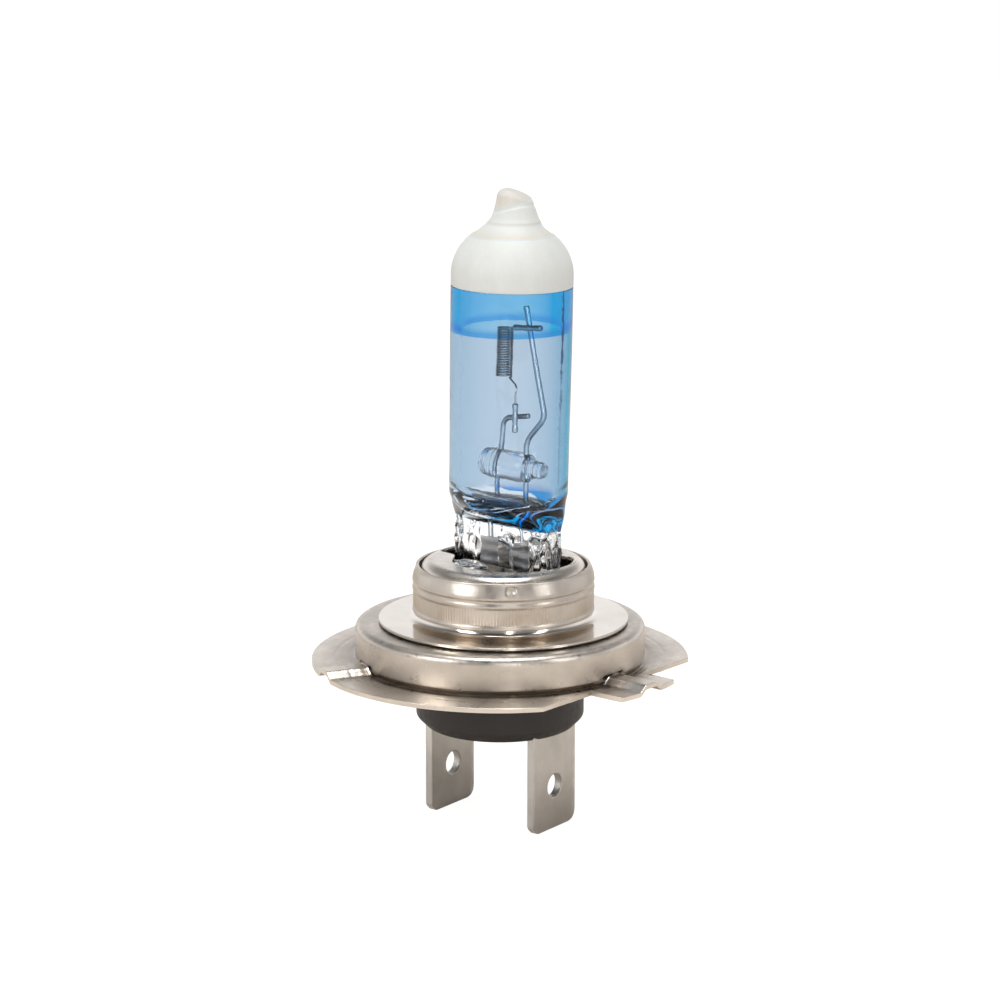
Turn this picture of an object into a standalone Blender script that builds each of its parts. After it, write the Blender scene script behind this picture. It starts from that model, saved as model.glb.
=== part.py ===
"""Single-filament halogen headlamp bulb with a prefocused flange cap and two blade terminals.

Frame: +Z runs along the lamp axis from the terminals to the glass tip, +X points at the
index tab of the flange, and z = 0 is the reference plane, the plane of the flange's bead tops.
All lengths are in metres.
"""
import math

import bmesh
import bpy
from mathutils import Matrix, Vector

MM = 0.001

# Flange
PLATE_TOP = -0.55 * MM
PLATE_THICKNESS = 0.45 * MM
PLATE_BOTTOM = PLATE_TOP - PLATE_THICKNESS
FLANGE_RADIUS = 16.88 * MM
FLANGE_CHORD_X = 13.42 * MM
TAB_RADIUS = 17.15 * MM
TAB_HALF_WIDTH = 3.72 * MM
BEAD_AZIMUTHS = (0.0, 116.0, -116.0)
BEAD_FOOT_HALF = 1.40 * MM
BEAD_TOP_HALF = 0.75 * MM
COLLAR_OUTER = 12.62 * MM
COLLAR_INNER = 12.30 * MM
COLLAR_TOP = 1.60 * MM
COLLAR_BEND = 0.50 * MM

# Reference drum
DRUM_RADIUS = 13.0 * MM
DRUM_WALL = 0.30 * MM
DRUM_BOTTOM = -0.27 * MM
DRUM_TOP = 2.71 * MM
DRUM_HOLE = 8.90 * MM
DRUM_SHOULDER = 0.80 * MM
DRUM_NOTCH_HALF = 1.65 * MM
DRUM_NOTCH_TOP = 0.12 * MM

# Cap pieces, which sit together slightly off the drum's axis after focusing
FOCUS_AZIMUTH = math.radians(40.2)
CAP_SHIFT = 0.30 * MM
DISC_RADIUS = 11.17 * MM
DISC_TOP = 3.13 * MM
DISC_SHEET = 0.27 * MM
DISC_NECK_OUTER = 7.80 * MM
DISC_NECK_INNER = 7.50 * MM
DISC_NECK_TOP = 5.55 * MM
DISC_FILLET = 0.70 * MM
SLEEVE_BOTTOM = 3.80 * MM
SLEEVE_LOWER_RADIUS = 8.15 * MM
SLEEVE_UPPER_RADIUS = 7.81 * MM
SLEEVE_STEP_LOW = 5.89 * MM
SLEEVE_STEP_HIGH = 7.00 * MM
SLEEVE_RIM = 7.95 * MM
SLEEVE_WALL = 0.28 * MM
COVER_RADIUS = 7.42 * MM
COVER_SHEET = 0.30 * MM
COVER_BOTTOM = 1.10 * MM
COVER_TOP = 8.40 * MM
COVER_SHOULDER = 1.10 * MM
COVER_OPENING = ((-6.30, -1.50), (-4.10, -1.75), (-3.40, -2.90), (-2.60, -4.00), (0.00, -4.85),
                 (2.20, -4.60), (4.20, -3.50), (5.60, -1.60), (6.10, 0.60), (5.95, 2.40),
                 (5.50, 3.60), (4.20, 4.20), (3.40, 3.95), (2.60, 5.20), (0.00, 5.00),
                 (-2.60, 4.00), (-3.40, 2.90), (-4.10, 1.75), (-6.30, 1.50))

# Insulator and terminals
BASE_RADIUS = 7.54 * MM
BASE_BOTTOM = -6.75 * MM
BASE_CHAMFER = 0.90 * MM
BASE_SHOULDER = 0.60 * MM
BASE_PLUG_RADIUS = 6.70 * MM
BASE_PLUG_TOP = 4.00 * MM
BASE_CAVITY_RADIUS = 5.90 * MM
BASE_CAVITY_FLOOR = -1.60 * MM
TERMINAL_WIDTH = 6.30 * MM
TERMINAL_THICKNESS = 0.80 * MM
TERMINAL_SPACING = 11.41 * MM
TERMINAL_BOTTOM = -15.57 * MM
TERMINAL_SHOULDER = -2.60 * MM
TERMINAL_NECK_HALF = 1.50 * MM
TERMINAL_NECK_TOP = 1.00 * MM
TERMINAL_HOLE_Z = -11.61 * MM
TERMINAL_HOLE_RADIUS = 1.05 * MM
TERMINAL_TURN = math.radians(3.6)
SLOT_CLEARANCE = 0.06 * MM

# Glass capsule, which leans a little on its own axis
CAPSULE_SHIFT = 0.522 * MM
CAPSULE_LEAN = math.radians(0.917)
GLASS_RADIUS = 5.37 * MM
GLASS_FOOT_RADIUS = 5.28 * MM
GLASS_WALL = 0.95 * MM
DOME_BASE = 33.90 * MM
DOME_HEIGHT = 4.79 * MM
DOME_SHOULDER_RADIUS = 2.90 * MM
TIP_TOP = 41.43 * MM
COATING_EDGE = 32.95 * MM
COATING_SHEET = 0.10 * MM
COATING_GAP = 0.05 * MM
PINCH_BOTTOM = 4.45 * MM
PINCH_TOP = 11.30 * MM
BULB_BOTTOM = 14.70 * MM
PINCH_HALF_WIDTH = 5.45 * MM
PINCH_HALF_THICKNESS = 1.40 * MM
SHORT_LEAD_X = -1.36 * MM
LONG_LEAD_X = 1.96 * MM

# Wires inside the capsule
POST_RADIUS = 0.235 * MM
LEAD_RADIUS = 0.25 * MM
COIL_FOOT_X = -0.76 * MM
COIL_LEAN = 0.022
COIL_RADIUS = 0.665 * MM
COIL_TURNS = 19.75
COIL_BOTTOM = 24.80 * MM
COIL_PITCH = 0.2205 * MM
FILAMENT_RADIUS = 0.085 * MM
CLAMP_RADIUS = 0.265 * MM
CLAMP_BORE = 0.125 * MM
BRIDGE_RADIUS = 1.36 * MM
BRIDGE_Z = 16.95 * MM
FOIL_HALF_WIDTH = 0.95 * MM
FOIL_THICKNESS = 0.08 * MM
FOIL_Z = (6.40 * MM, 10.40 * MM)
POST_END_Z = 9.40 * MM
LEAD_START_Z = 7.40 * MM

ROUND_STEPS = 48
GLASS_STEPS = 32


# Materials

def make_material(name, colour, roughness, metallic=0.0, transmission=0.0):
    material = bpy.data.materials.new(name)
    material.use_nodes = True
    shader = material.node_tree.nodes["Principled BSDF"]
    shader.inputs["Base Color"].default_value = (*colour, 1.0)
    shader.inputs["Roughness"].default_value = roughness
    shader.inputs["Metallic"].default_value = metallic
    shader.inputs["Transmission Weight"].default_value = transmission
    material.diffuse_color = (*colour, 1.0)
    return material


def make_materials():
    return {
        "plated_steel": make_material("plated_steel", (0.62, 0.57, 0.50), 0.30, 1.0),
        "bright_steel": make_material("bright_steel", (0.72, 0.68, 0.63), 0.20, 1.0),
        "terminal_metal": make_material("terminal_metal", (0.60, 0.57, 0.53), 0.35, 1.0),
        "black_insulator": make_material("black_insulator", (0.030, 0.026, 0.024), 0.55),
        "blue_glass": make_material("blue_glass", (0.60, 0.78, 0.95), 0.03, 0.0, 1.0),
        "clear_glass": make_material("clear_glass", (0.95, 0.97, 0.98), 0.03, 0.0, 1.0),
        "white_coating": make_material("white_coating", (0.86, 0.86, 0.83), 0.60),
        "wire_metal": make_material("wire_metal", (0.55, 0.56, 0.57), 0.25, 1.0),
        "tungsten": make_material("tungsten", (0.35, 0.36, 0.38), 0.35, 1.0),
        "foil_metal": make_material("foil_metal", (0.50, 0.50, 0.50), 0.40, 1.0),
    }


# Mesh tools

def add_object(name, mesh_builder, material, parent=None):
    """Turn a bmesh into a named object with faces out and smooth round sides."""
    bmesh.ops.recalc_face_normals(mesh_builder, faces=mesh_builder.faces)
    mesh = bpy.data.meshes.new(name)
    mesh_builder.to_mesh(mesh)
    mesh_builder.free()
    mesh.shade_smooth()
    mesh.set_sharp_from_angle(angle=math.radians(35))
    if material:
        mesh.materials.append(material)
    obj = bpy.data.objects.new(name, mesh)
    bpy.context.scene.collection.objects.link(obj)
    obj.parent = parent
    return obj


def bridge_rings(builder, lower, upper):
    """Join two rings of vertices; a ring of one vertex is a point on the axis."""
    steps = max(len(lower), len(upper))
    for i in range(steps):
        j = (i + 1) % steps
        corners = [lower[i % len(lower)], lower[j % len(lower)],
                   upper[j % len(upper)], upper[i % len(upper)]]
        unique = list(dict.fromkeys(corners))
        if len(unique) > 2:
            builder.faces.new(unique)


def turn(profile, steps=ROUND_STEPS, closed=True):
    """Turn (radius, height) points about Z; a closed profile gives a ring-shaped solid."""
    builder = bmesh.new()
    rings = []
    for radius, height in profile:
        if radius == 0.0:
            rings.append([builder.verts.new((0.0, 0.0, height))])
            continue
        rings.append([builder.verts.new((radius * math.cos(turn_angle),
                                         radius * math.sin(turn_angle), height))
                      for turn_angle in (2 * math.pi * i / steps for i in range(steps))])
    for lower, upper in zip(rings, rings[1:]):
        bridge_rings(builder, lower, upper)
    if closed:
        bridge_rings(builder, rings[-1], rings[0])
    return builder


def loft(sections):
    """Join sections, each a list of 3-D points in one order, and cap both ends."""
    builder = bmesh.new()
    rings = [[builder.verts.new(point) for point in section] for section in sections]
    for lower, upper in zip(rings, rings[1:]):
        bridge_rings(builder, lower, upper)
    builder.faces.new(rings[0])
    builder.faces.new(rings[-1])
    return builder


def extrude_outline(outline, low, high, placing=Matrix.Identity(4)):
    """A prism over a flat outline of (x, y) points, from z = low to z = high."""
    return loft([[placing @ Vector((x, y, z)) for x, y in outline] for z in (low, high)])


def box(low, high):
    outline = [(low[0], low[1]), (high[0], low[1]), (high[0], high[1]), (low[0], high[1])]
    return extrude_outline(outline, low[2], high[2])


def sweep(path, radius, sides=8):
    """A round wire along a path of points, with flat ends."""
    points = [Vector(point) for point in path]
    normal = Vector((0.0, 1.0, 0.0))
    sections = []
    for i, point in enumerate(points):
        along = (points[min(i + 1, len(points) - 1)] - points[max(i - 1, 0)]).normalized()
        across = (normal - along * normal.dot(along)).normalized()
        normal = across
        other = along.cross(across)
        sections.append([point + radius * (across * math.cos(a) + other * math.sin(a))
                         for a in (2 * math.pi * k / sides for k in range(sides))])
    return loft(sections)


def arc(centre, radius, start, end, steps):
    """Points on a circle from start to end, in degrees, both ends included."""
    angles = (math.radians(start + (end - start) * i / steps) for i in range(steps + 1))
    return [(centre[0] + radius * math.cos(a), centre[1] + radius * math.sin(a)) for a in angles]


def rounded_path(corners, reach, steps=4):
    """A path through corners, each turned over a smooth curve that starts `reach` away."""
    points = [Vector(corner) for corner in corners]
    path = [points[0]]
    for before, corner, after in zip(points, points[1:], points[2:]):
        entry = corner + (before - corner).normalized() * reach
        leave = corner + (after - corner).normalized() * reach
        for i in range(steps + 1):
            t = i / steps
            path.append(entry * (1 - t) ** 2 + corner * 2 * t * (1 - t) + leave * t ** 2)
    path.append(points[-1])
    return path


def cut(obj, name, builder, operation="DIFFERENCE"):
    """Cut an object with a hidden tool that shares its parent."""
    tool = add_object(name, builder, None, obj.parent)
    tool.hide_render = True
    tool.display_type = "WIRE"
    modifier = obj.modifiers.new(name, "BOOLEAN")
    modifier.operation = operation
    modifier.solver = "EXACT"
    modifier.object = tool
    return tool


def add_axis(name, shift, lean=0.0):
    """An empty set off the lamp axis towards the focusing azimuth, and leaning that way."""
    towards = Vector((math.cos(FOCUS_AZIMUTH), math.sin(FOCUS_AZIMUTH), 0.0))
    hinge = Vector((0.0, 0.0, 1.0)).cross(towards)
    axis = bpy.data.objects.new(name, None)
    bpy.context.scene.collection.objects.link(axis)
    axis.matrix_world = Matrix.Translation(towards * shift) @ Matrix.Rotation(lean, 4, hinge)
    return axis


# Flange and drum

def flange_outline():
    """Outer edge: a circle cut square on the index side, with the tab standing out."""
    chord_angle = math.degrees(math.acos(FLANGE_CHORD_X / FLANGE_RADIUS))
    tab_angle = math.degrees(math.asin(TAB_HALF_WIDTH / TAB_RADIUS))
    outline = [(FLANGE_CHORD_X, -TAB_HALF_WIDTH)]
    outline += arc((0.0, 0.0), TAB_RADIUS, -tab_angle, tab_angle, 6)
    outline += [(FLANGE_CHORD_X, TAB_HALF_WIDTH)]
    outline += arc((0.0, 0.0), FLANGE_RADIUS, chord_angle, 360 - chord_angle, 56)
    return outline


def bead_prism(azimuth, start, end, foot, foot_half, top, top_half):
    """A trapezoid ridge lying along a radius."""
    section = [(-foot_half, foot), (foot_half, foot), (top_half, top), (-top_half, top)]
    turn_to = Matrix.Rotation(math.radians(azimuth), 4, "Z")
    return [[turn_to @ Vector((x, y, z)) for y, z in section] for x in (start, end)]


def make_flange(materials):
    bend_radius = COLLAR_OUTER + COLLAR_BEND
    under_bend = bend_radius + 0.13 * MM - COLLAR_INNER
    bend_height = PLATE_TOP + COLLAR_BEND
    rim = 18.6 * MM
    profile = [(rim, PLATE_BOTTOM), (rim, 0.0), (bend_radius, 0.0)]
    profile += arc((bend_radius, bend_height), COLLAR_BEND, -90, -180, 4)
    profile += [(COLLAR_OUTER, COLLAR_TOP), (COLLAR_INNER, COLLAR_TOP)]
    profile += arc((COLLAR_INNER + under_bend, PLATE_BOTTOM + under_bend), under_bend, -180, -90, 4)
    flange = add_object("index_flange", turn(profile), materials["plated_steel"])

    cut(flange, "flange_edge_tool", extrude_outline(flange_outline(), -2 * MM, 3 * MM), "INTERSECT")
    clearing = [(bend_radius, PLATE_TOP), (20 * MM, PLATE_TOP), (20 * MM, 1 * MM),
                (bend_radius, 1 * MM)]
    slab = cut(flange, "flange_face_tool", turn(clearing))
    slope = BEAD_FOOT_HALF - BEAD_TOP_HALF
    rise = 0.2 * MM
    for number, azimuth in enumerate(BEAD_AZIMUTHS):
        sections = bead_prism(azimuth, bend_radius - 0.1 * MM, 21 * MM,
                              PLATE_TOP - rise, BEAD_FOOT_HALF + slope * rise / -PLATE_TOP,
                              rise, BEAD_TOP_HALF - slope * rise / -PLATE_TOP)
        cut(slab, f"bead_ridge_tool_{number}", loft(sections))
        groove = bead_prism(azimuth, bend_radius + 0.35 * MM, 21 * MM,
                            PLATE_BOTTOM - rise, BEAD_FOOT_HALF - 0.1 * MM,
                            -PLATE_THICKNESS, BEAD_TOP_HALF - 0.25 * MM)
        cut(flange, f"bead_groove_tool_{number}", loft(groove))
    return flange


def make_drum(materials):
    inner = DRUM_RADIUS - DRUM_WALL
    edge = 0.10 * MM
    shoulder = (DRUM_RADIUS - DRUM_SHOULDER, DRUM_TOP - DRUM_SHOULDER)
    profile = [(inner, DRUM_BOTTOM), (DRUM_RADIUS - edge, DRUM_BOTTOM), (DRUM_RADIUS, DRUM_BOTTOM + edge)]
    profile += arc(shoulder, DRUM_SHOULDER, 0, 90, 4)
    profile += [(DRUM_HOLE, DRUM_TOP), (DRUM_HOLE, DRUM_TOP - DRUM_WALL)]
    profile += arc(shoulder, DRUM_SHOULDER - DRUM_WALL, 90, 0, 3)
    drum = add_object("reference_drum", turn(profile), materials["plated_steel"])
    for number, azimuth in enumerate(BEAD_AZIMUTHS):
        notch = bead_prism(azimuth, inner - 1 * MM, DRUM_RADIUS + 1 * MM, DRUM_BOTTOM - 1 * MM,
                           DRUM_NOTCH_HALF, DRUM_NOTCH_TOP, DRUM_NOTCH_HALF - 0.4 * MM)
        cut(drum, f"drum_notch_tool_{number}", loft(notch))
    return drum


# Cap

def make_focus_disc(materials, axis):
    low = DISC_TOP - DISC_SHEET
    corner = (DISC_NECK_OUTER + DISC_FILLET, DISC_TOP + DISC_FILLET)
    inner_bend = DISC_FILLET + DISC_NECK_OUTER - DISC_NECK_INNER
    inner_corner = (DISC_NECK_INNER + inner_bend, low + inner_bend)
    profile = [(DISC_RADIUS, low), (DISC_RADIUS, DISC_TOP)]
    profile += arc(corner, DISC_FILLET, -90, -180, 4)
    profile += [(DISC_NECK_OUTER, DISC_NECK_TOP), (DISC_NECK_INNER, DISC_NECK_TOP)]
    profile += arc(inner_corner, inner_bend, -180, -90, 4)
    return add_object("focus_disc", turn(profile), materials["bright_steel"], axis)


def make_sleeve(materials, axis):
    edge = 0.12 * MM
    lower_inner = SLEEVE_LOWER_RADIUS - SLEEVE_WALL
    upper_inner = SLEEVE_UPPER_RADIUS - SLEEVE_WALL
    profile = [(lower_inner, SLEEVE_BOTTOM), (SLEEVE_LOWER_RADIUS - edge, SLEEVE_BOTTOM),
               (SLEEVE_LOWER_RADIUS, SLEEVE_BOTTOM + edge), (SLEEVE_LOWER_RADIUS, SLEEVE_STEP_LOW),
               (SLEEVE_UPPER_RADIUS, SLEEVE_STEP_HIGH), (SLEEVE_UPPER_RADIUS, SLEEVE_RIM - edge),
               (SLEEVE_UPPER_RADIUS - edge, SLEEVE_RIM), (upper_inner, SLEEVE_RIM),
               (upper_inner, SLEEVE_STEP_HIGH), (lower_inner, SLEEVE_STEP_LOW)]
    return add_object("cap_sleeve", turn(profile), materials["plated_steel"], axis)


def make_cover(materials, axis):
    centre = (COVER_RADIUS - COVER_SHOULDER, COVER_TOP - COVER_SHOULDER)
    profile = [(COVER_RADIUS - COVER_SHEET, COVER_BOTTOM), (COVER_RADIUS, COVER_BOTTOM)]
    profile += arc(centre, COVER_SHOULDER, 0, 90, 4)
    profile += [(0.0, COVER_TOP), (0.0, COVER_TOP - COVER_SHEET)]
    profile += arc(centre, COVER_SHOULDER - COVER_SHEET, 90, 0, 4)
    cover = add_object("cap_cover", turn(profile), materials["plated_steel"], axis)
    outline = [(x * MM, y * MM) for x, y in COVER_OPENING]
    opening = extrude_outline(outline, COVER_TOP - 2 * MM, COVER_TOP + 1 * MM)
    cut(cover, "cover_opening_tool", opening)
    return cover


def rounded_rectangle(half_x, half_y, radius, steps):
    """Outline of a rectangle about the origin with round corners."""
    outline = []
    for quarter, (side_x, side_y) in enumerate(((1, 1), (-1, 1), (-1, -1), (1, -1))):
        centre = (side_x * (half_x - radius), side_y * (half_y - radius))
        outline += arc(centre, radius, 90 * quarter, 90 * quarter + 90, steps)
    return outline


def make_pinch_clip(materials, axis):
    """Sheet-metal band round the glass pinch, with a tall and a short leaf and two flat shoulders."""
    sheet = 0.25 * MM
    gap = 0.12 * MM
    half_x, half_y = PINCH_HALF_WIDTH + gap, PINCH_HALF_THICKNESS + gap
    band_low, band_high = 4.70 * MM, 7.20 * MM
    outer = rounded_rectangle(half_x + sheet, half_y + sheet, 0.6 * MM, 3)
    inner = rounded_rectangle(half_x, half_y, 0.35 * MM, 3)
    clip = add_object("pinch_clip", extrude_outline(outer, band_low, band_high),
                      materials["bright_steel"], axis)
    cut(clip, "clip_inside_tool", extrude_outline(inner, band_low - 1 * MM, band_high + 1 * MM))
    leaf_half = 2.60 * MM
    shelf_half, shelf_reach = 3.20 * MM, 4.40 * MM
    for side, leaf_top, flare in ((-1, 8.00 * MM, 0.15 * MM), (1, 10.20 * MM, 1.10 * MM)):
        heights = [band_low + 0.5 * MM, band_high - 0.3 * MM]
        heights += [band_high + (leaf_top - band_high) * step / 4 for step in range(1, 5)]
        sections = []
        for height in heights:
            rise = max(0.0, (height - band_high) / (leaf_top - band_high))
            y = half_y + 0.02 * MM + flare * rise ** 2
            sections.append([(x, side * depth, height) for x, depth in
                             ((-leaf_half, y), (leaf_half, y),
                              (leaf_half, y + sheet), (-leaf_half, y + sheet))])
        cut(clip, f"clip_leaf_{'front' if side < 0 else 'back'}", loft(sections), "UNION")
        edges = sorted((side * (half_y + 0.05 * MM), side * shelf_reach))
        shelf = [(-shelf_half, edges[0]), (shelf_half, edges[0]),
                 (shelf_half, edges[1]), (-shelf_half, edges[1])]
        cut(clip, f"clip_shelf_{'front' if side < 0 else 'back'}",
            extrude_outline(shelf, band_high - 0.15 * MM, band_high + 0.10 * MM), "UNION")
    return clip


# Insulator and terminals

def terminal_outline():
    """Blade outline in its own plane, (across, height), with its insertion corners cut."""
    half = TERMINAL_WIDTH / 2
    corner, chamfer = 1.10 * MM, 0.60 * MM
    outline = [(-half, TERMINAL_BOTTOM + chamfer), (-half + chamfer, TERMINAL_BOTTOM)]
    outline += arc((half - corner, TERMINAL_BOTTOM + corner), corner, -90, 0, 4)
    outline += [(half, TERMINAL_SHOULDER), (TERMINAL_NECK_HALF, TERMINAL_SHOULDER),
                (TERMINAL_NECK_HALF, TERMINAL_NECK_TOP), (-TERMINAL_NECK_HALF, TERMINAL_NECK_TOP),
                (-TERMINAL_NECK_HALF, TERMINAL_SHOULDER), (-half, TERMINAL_SHOULDER)]
    return outline


def terminal_placing(side):
    """Stands an outline up across the blade's normal, at the blade's middle plane."""
    stand = Matrix(((0, 0, 1, 0), (1, 0, 0, 0), (0, 1, 0, 0), (0, 0, 0, 1)))
    shift = Matrix.Translation((side * TERMINAL_SPACING / 2, 0.0, 0.0))
    return Matrix.Rotation(TERMINAL_TURN, 4, "Z") @ shift @ stand


def make_terminal(materials, name, side):
    half = TERMINAL_THICKNESS / 2
    placing = terminal_placing(side)
    blade = add_object(name, extrude_outline(terminal_outline(), -half, half, placing),
                       materials["terminal_metal"])
    hole = arc((0.0, TERMINAL_HOLE_Z), TERMINAL_HOLE_RADIUS, 0, 345, 23)
    cut(blade, f"{name}_hole_tool", extrude_outline(hole, -1 * MM, 1 * MM, placing))
    return blade


def make_base(materials):
    profile = [(0.0, BASE_BOTTOM), (BASE_RADIUS - BASE_CHAMFER, BASE_BOTTOM),
               (BASE_RADIUS, BASE_BOTTOM + BASE_CHAMFER), (BASE_RADIUS, BASE_SHOULDER),
               (BASE_PLUG_RADIUS, BASE_SHOULDER), (BASE_PLUG_RADIUS, BASE_PLUG_TOP),
               (BASE_CAVITY_RADIUS, BASE_PLUG_TOP), (BASE_CAVITY_RADIUS, BASE_CAVITY_FLOOR),
               (0.0, BASE_CAVITY_FLOOR)]
    base = add_object("insulator_base", turn(profile, closed=False), materials["black_insulator"])
    half = TERMINAL_THICKNESS / 2 + SLOT_CLEARANCE
    wide = TERMINAL_WIDTH / 2 + SLOT_CLEARANCE
    narrow = TERMINAL_NECK_HALF + SLOT_CLEARANCE
    shoulder = TERMINAL_SHOULDER + SLOT_CLEARANCE
    for name, side in (("left", -1), ("right", 1)):
        slot = [(-wide, BASE_BOTTOM - 1 * MM), (wide, BASE_BOTTOM - 1 * MM), (wide, shoulder),
                (narrow, shoulder), (narrow, TERMINAL_NECK_TOP + 0.3 * MM),
                (-narrow, TERMINAL_NECK_TOP + 0.3 * MM), (-narrow, shoulder), (-wide, shoulder)]
        cut(base, f"slot_tool_{name}", extrude_outline(slot, -half, half, terminal_placing(side)))
    return base


# Glass capsule

def ease(value):
    value = min(1.0, max(0.0, value))
    return value * value * (3 - 2 * value)


def glass_section(height, half_x, half_y, squareness, steps=GLASS_STEPS):
    """A closed section between an ellipse (squareness 2) and a rounded rectangle."""
    section = []
    for i in range(steps):
        angle = 2 * math.pi * i / steps
        x = math.copysign(abs(math.cos(angle)) ** (2 / squareness), math.cos(angle))
        y = math.copysign(abs(math.sin(angle)) ** (2 / squareness), math.sin(angle))
        section.append((half_x * x, half_y * y, height))
    return section


def dome_profile(inset, steps=5):
    """Dome and sealed tip as (radius, height), drawn in by `inset` all over."""
    stop = math.degrees(math.acos(DOME_SHOULDER_RADIUS / GLASS_RADIUS))
    dome = [(radius, DOME_BASE + (height - DOME_BASE) * (DOME_HEIGHT - inset) / (GLASS_RADIUS - inset))
            for radius, height in arc((0.0, DOME_BASE), GLASS_RADIUS - inset, 0, stop, steps)]
    tip = ((2.35, 38.53), (2.00, 39.10), (1.59, 40.56), (1.20, 41.08), (0.62, 41.36))
    dome += [(radius * MM - inset, height * MM - inset) for radius, height in tip]
    return dome + [(0.0, TIP_TOP - inset)]


def make_glass(materials, axis):
    sections = [glass_section(PINCH_BOTTOM, PINCH_HALF_WIDTH, PINCH_HALF_THICKNESS, 5)]
    for step in range(7):
        share = ease(step / 6)
        height = PINCH_TOP + (BULB_BOTTOM - PINCH_TOP) * step / 6
        half_x = PINCH_HALF_WIDTH + (GLASS_FOOT_RADIUS - PINCH_HALF_WIDTH) * share
        half_y = PINCH_HALF_THICKNESS + (GLASS_FOOT_RADIUS - PINCH_HALF_THICKNESS) * share
        sections.append(glass_section(height, half_x, half_y, 2 + 3 * (1 - share) ** 2))
    builder = bmesh.new()
    rings = [[builder.verts.new(point) for point in section] for section in sections]
    inset = COATING_SHEET + COATING_GAP
    profile = [(GLASS_RADIUS, 29.85 * MM), (GLASS_RADIUS, COATING_EDGE - COATING_GAP),
               (GLASS_RADIUS - inset, COATING_EDGE - COATING_GAP)] + dome_profile(inset)
    for radius, height in profile[:-1]:
        rings.append([builder.verts.new(point) for point in glass_section(height, radius, radius, 2)])
    rings.append([builder.verts.new((0.0, 0.0, profile[-1][1]))])
    for lower, upper in zip(rings, rings[1:]):
        bridge_rings(builder, lower, upper)
    builder.faces.new(rings[0])
    glass = add_object("glass_envelope", builder, materials["blue_glass"], axis)
    cut(glass, "glass_hollow_tool", glass_hollow())
    for name, x in (("short", SHORT_LEAD_X), ("long", LONG_LEAD_X)):
        channel = box((x - 1.10 * MM, -0.42 * MM, PINCH_BOTTOM - 1 * MM),
                      (x + 1.10 * MM, 0.42 * MM, BULB_BOTTOM - 0.6 * MM))
        cut(glass, f"seal_channel_tool_{name}", channel)
    return glass


def glass_hollow():
    """The gas space: it follows the bulb wall and closes to a ridge above the pinch."""
    radius = GLASS_RADIUS - GLASS_WALL
    foot = GLASS_FOOT_RADIUS - GLASS_WALL
    sections = []
    for step in range(5):
        share = math.sin(math.radians(90 * step / 4))
        height = BULB_BOTTOM - 1.30 * MM + 2.20 * MM * (1 - math.cos(math.radians(90 * step / 4)))
        sections.append(glass_section(height, foot * (0.80 + 0.20 * share),
                                      0.30 * MM + (foot - 0.30 * MM) * share, 2))
    top = DOME_BASE - 0.2 * MM
    sections.append(glass_section(top, radius, radius, 2))
    for step in range(1, 5):
        angle = math.radians(80 * step / 4)
        ring = radius * math.cos(angle)
        sections.append(glass_section(top + 3.9 * MM * math.sin(angle), ring, ring, 2))
    return loft(sections)


def make_coating(materials, axis):
    outer = [(GLASS_RADIUS, COATING_EDGE)] + dome_profile(0.0)
    inner = [(GLASS_RADIUS - COATING_SHEET, COATING_EDGE)] + dome_profile(COATING_SHEET)
    builder = turn(outer + inner[::-1], GLASS_STEPS, closed=True)
    return add_object("dome_coating", builder, materials["white_coating"], axis)


# Wires

def make_post(materials, axis, name, corners):
    path = rounded_path([(x * MM, y * MM, z * MM) for x, y, z in corners], 0.55 * MM)
    return add_object(name, sweep(path, POST_RADIUS), materials["wire_metal"], axis)


def make_posts(materials, axis):
    end = POST_END_Z / MM
    make_post(materials, axis, "long_support_post",
              [(1.96, 0, end), (1.94, 0, 19.4), (3.80, 0, 21.65), (1.64, 0, 31.34)])
    make_post(materials, axis, "short_support_post",
              [(-1.36, 0, end), (-1.36, 0, 15.8), (-0.86, 0, 18.78), (-0.72, 0, 21.1), (2.20, 0, 21.66)])


def make_filament(materials, axis):
    """Upright coil with a leg to each clamp, all one wire."""
    per_turn = 8
    lower_leg = [(1.04, -0.53, 20.90), (1.04, -0.53, 22.95), (1.05, -0.53, 23.70),
                 (1.06, -0.40, 24.08), (0.64, -0.20, 24.40), (0.15, -0.10, 24.64)]
    upper_leg = [(0.00, -0.60, 29.26), (0.62, -0.53, 29.367), (3.60, -0.53, 29.649)]
    path = [(x * MM, y * MM, z * MM) for x, y, z in lower_leg]
    for i in range(round(COIL_TURNS * per_turn) + 1):
        angle = 2 * math.pi * i / per_turn
        rise = COIL_PITCH * i / per_turn
        path.append((COIL_FOOT_X + COIL_LEAN * rise + COIL_RADIUS * math.cos(angle),
                     COIL_RADIUS * math.sin(angle), COIL_BOTTOM + rise))
    path += [(x * MM, y * MM, z * MM) for x, y, z in upper_leg]
    return add_object("filament", sweep(path, FILAMENT_RADIUS, 5), materials["tungsten"], axis)


def make_clamp(materials, axis, name, start, end):
    """A short tube that grips a filament leg, lying against its post."""
    tube = add_object(name, sweep([start, end], CLAMP_RADIUS, 12), materials["wire_metal"], axis)
    along = (Vector(end) - Vector(start)).normalized() * 0.5 * MM
    bore = sweep([Vector(start) - along, Vector(end) + along], CLAMP_BORE, 12)
    cut(tube, f"{name}_bore_tool", bore)
    return tube


def make_clamps(materials, axis):
    make_clamp(materials, axis, "upper_clamp_tube",
               (0.76 * MM, -0.53 * MM, 29.38 * MM), (3.72 * MM, -0.53 * MM, 29.66 * MM))
    make_clamp(materials, axis, "lower_clamp_tube",
               (1.04 * MM, -0.53 * MM, 20.10 * MM), (1.04 * MM, -0.53 * MM, 22.68 * MM))


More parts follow.
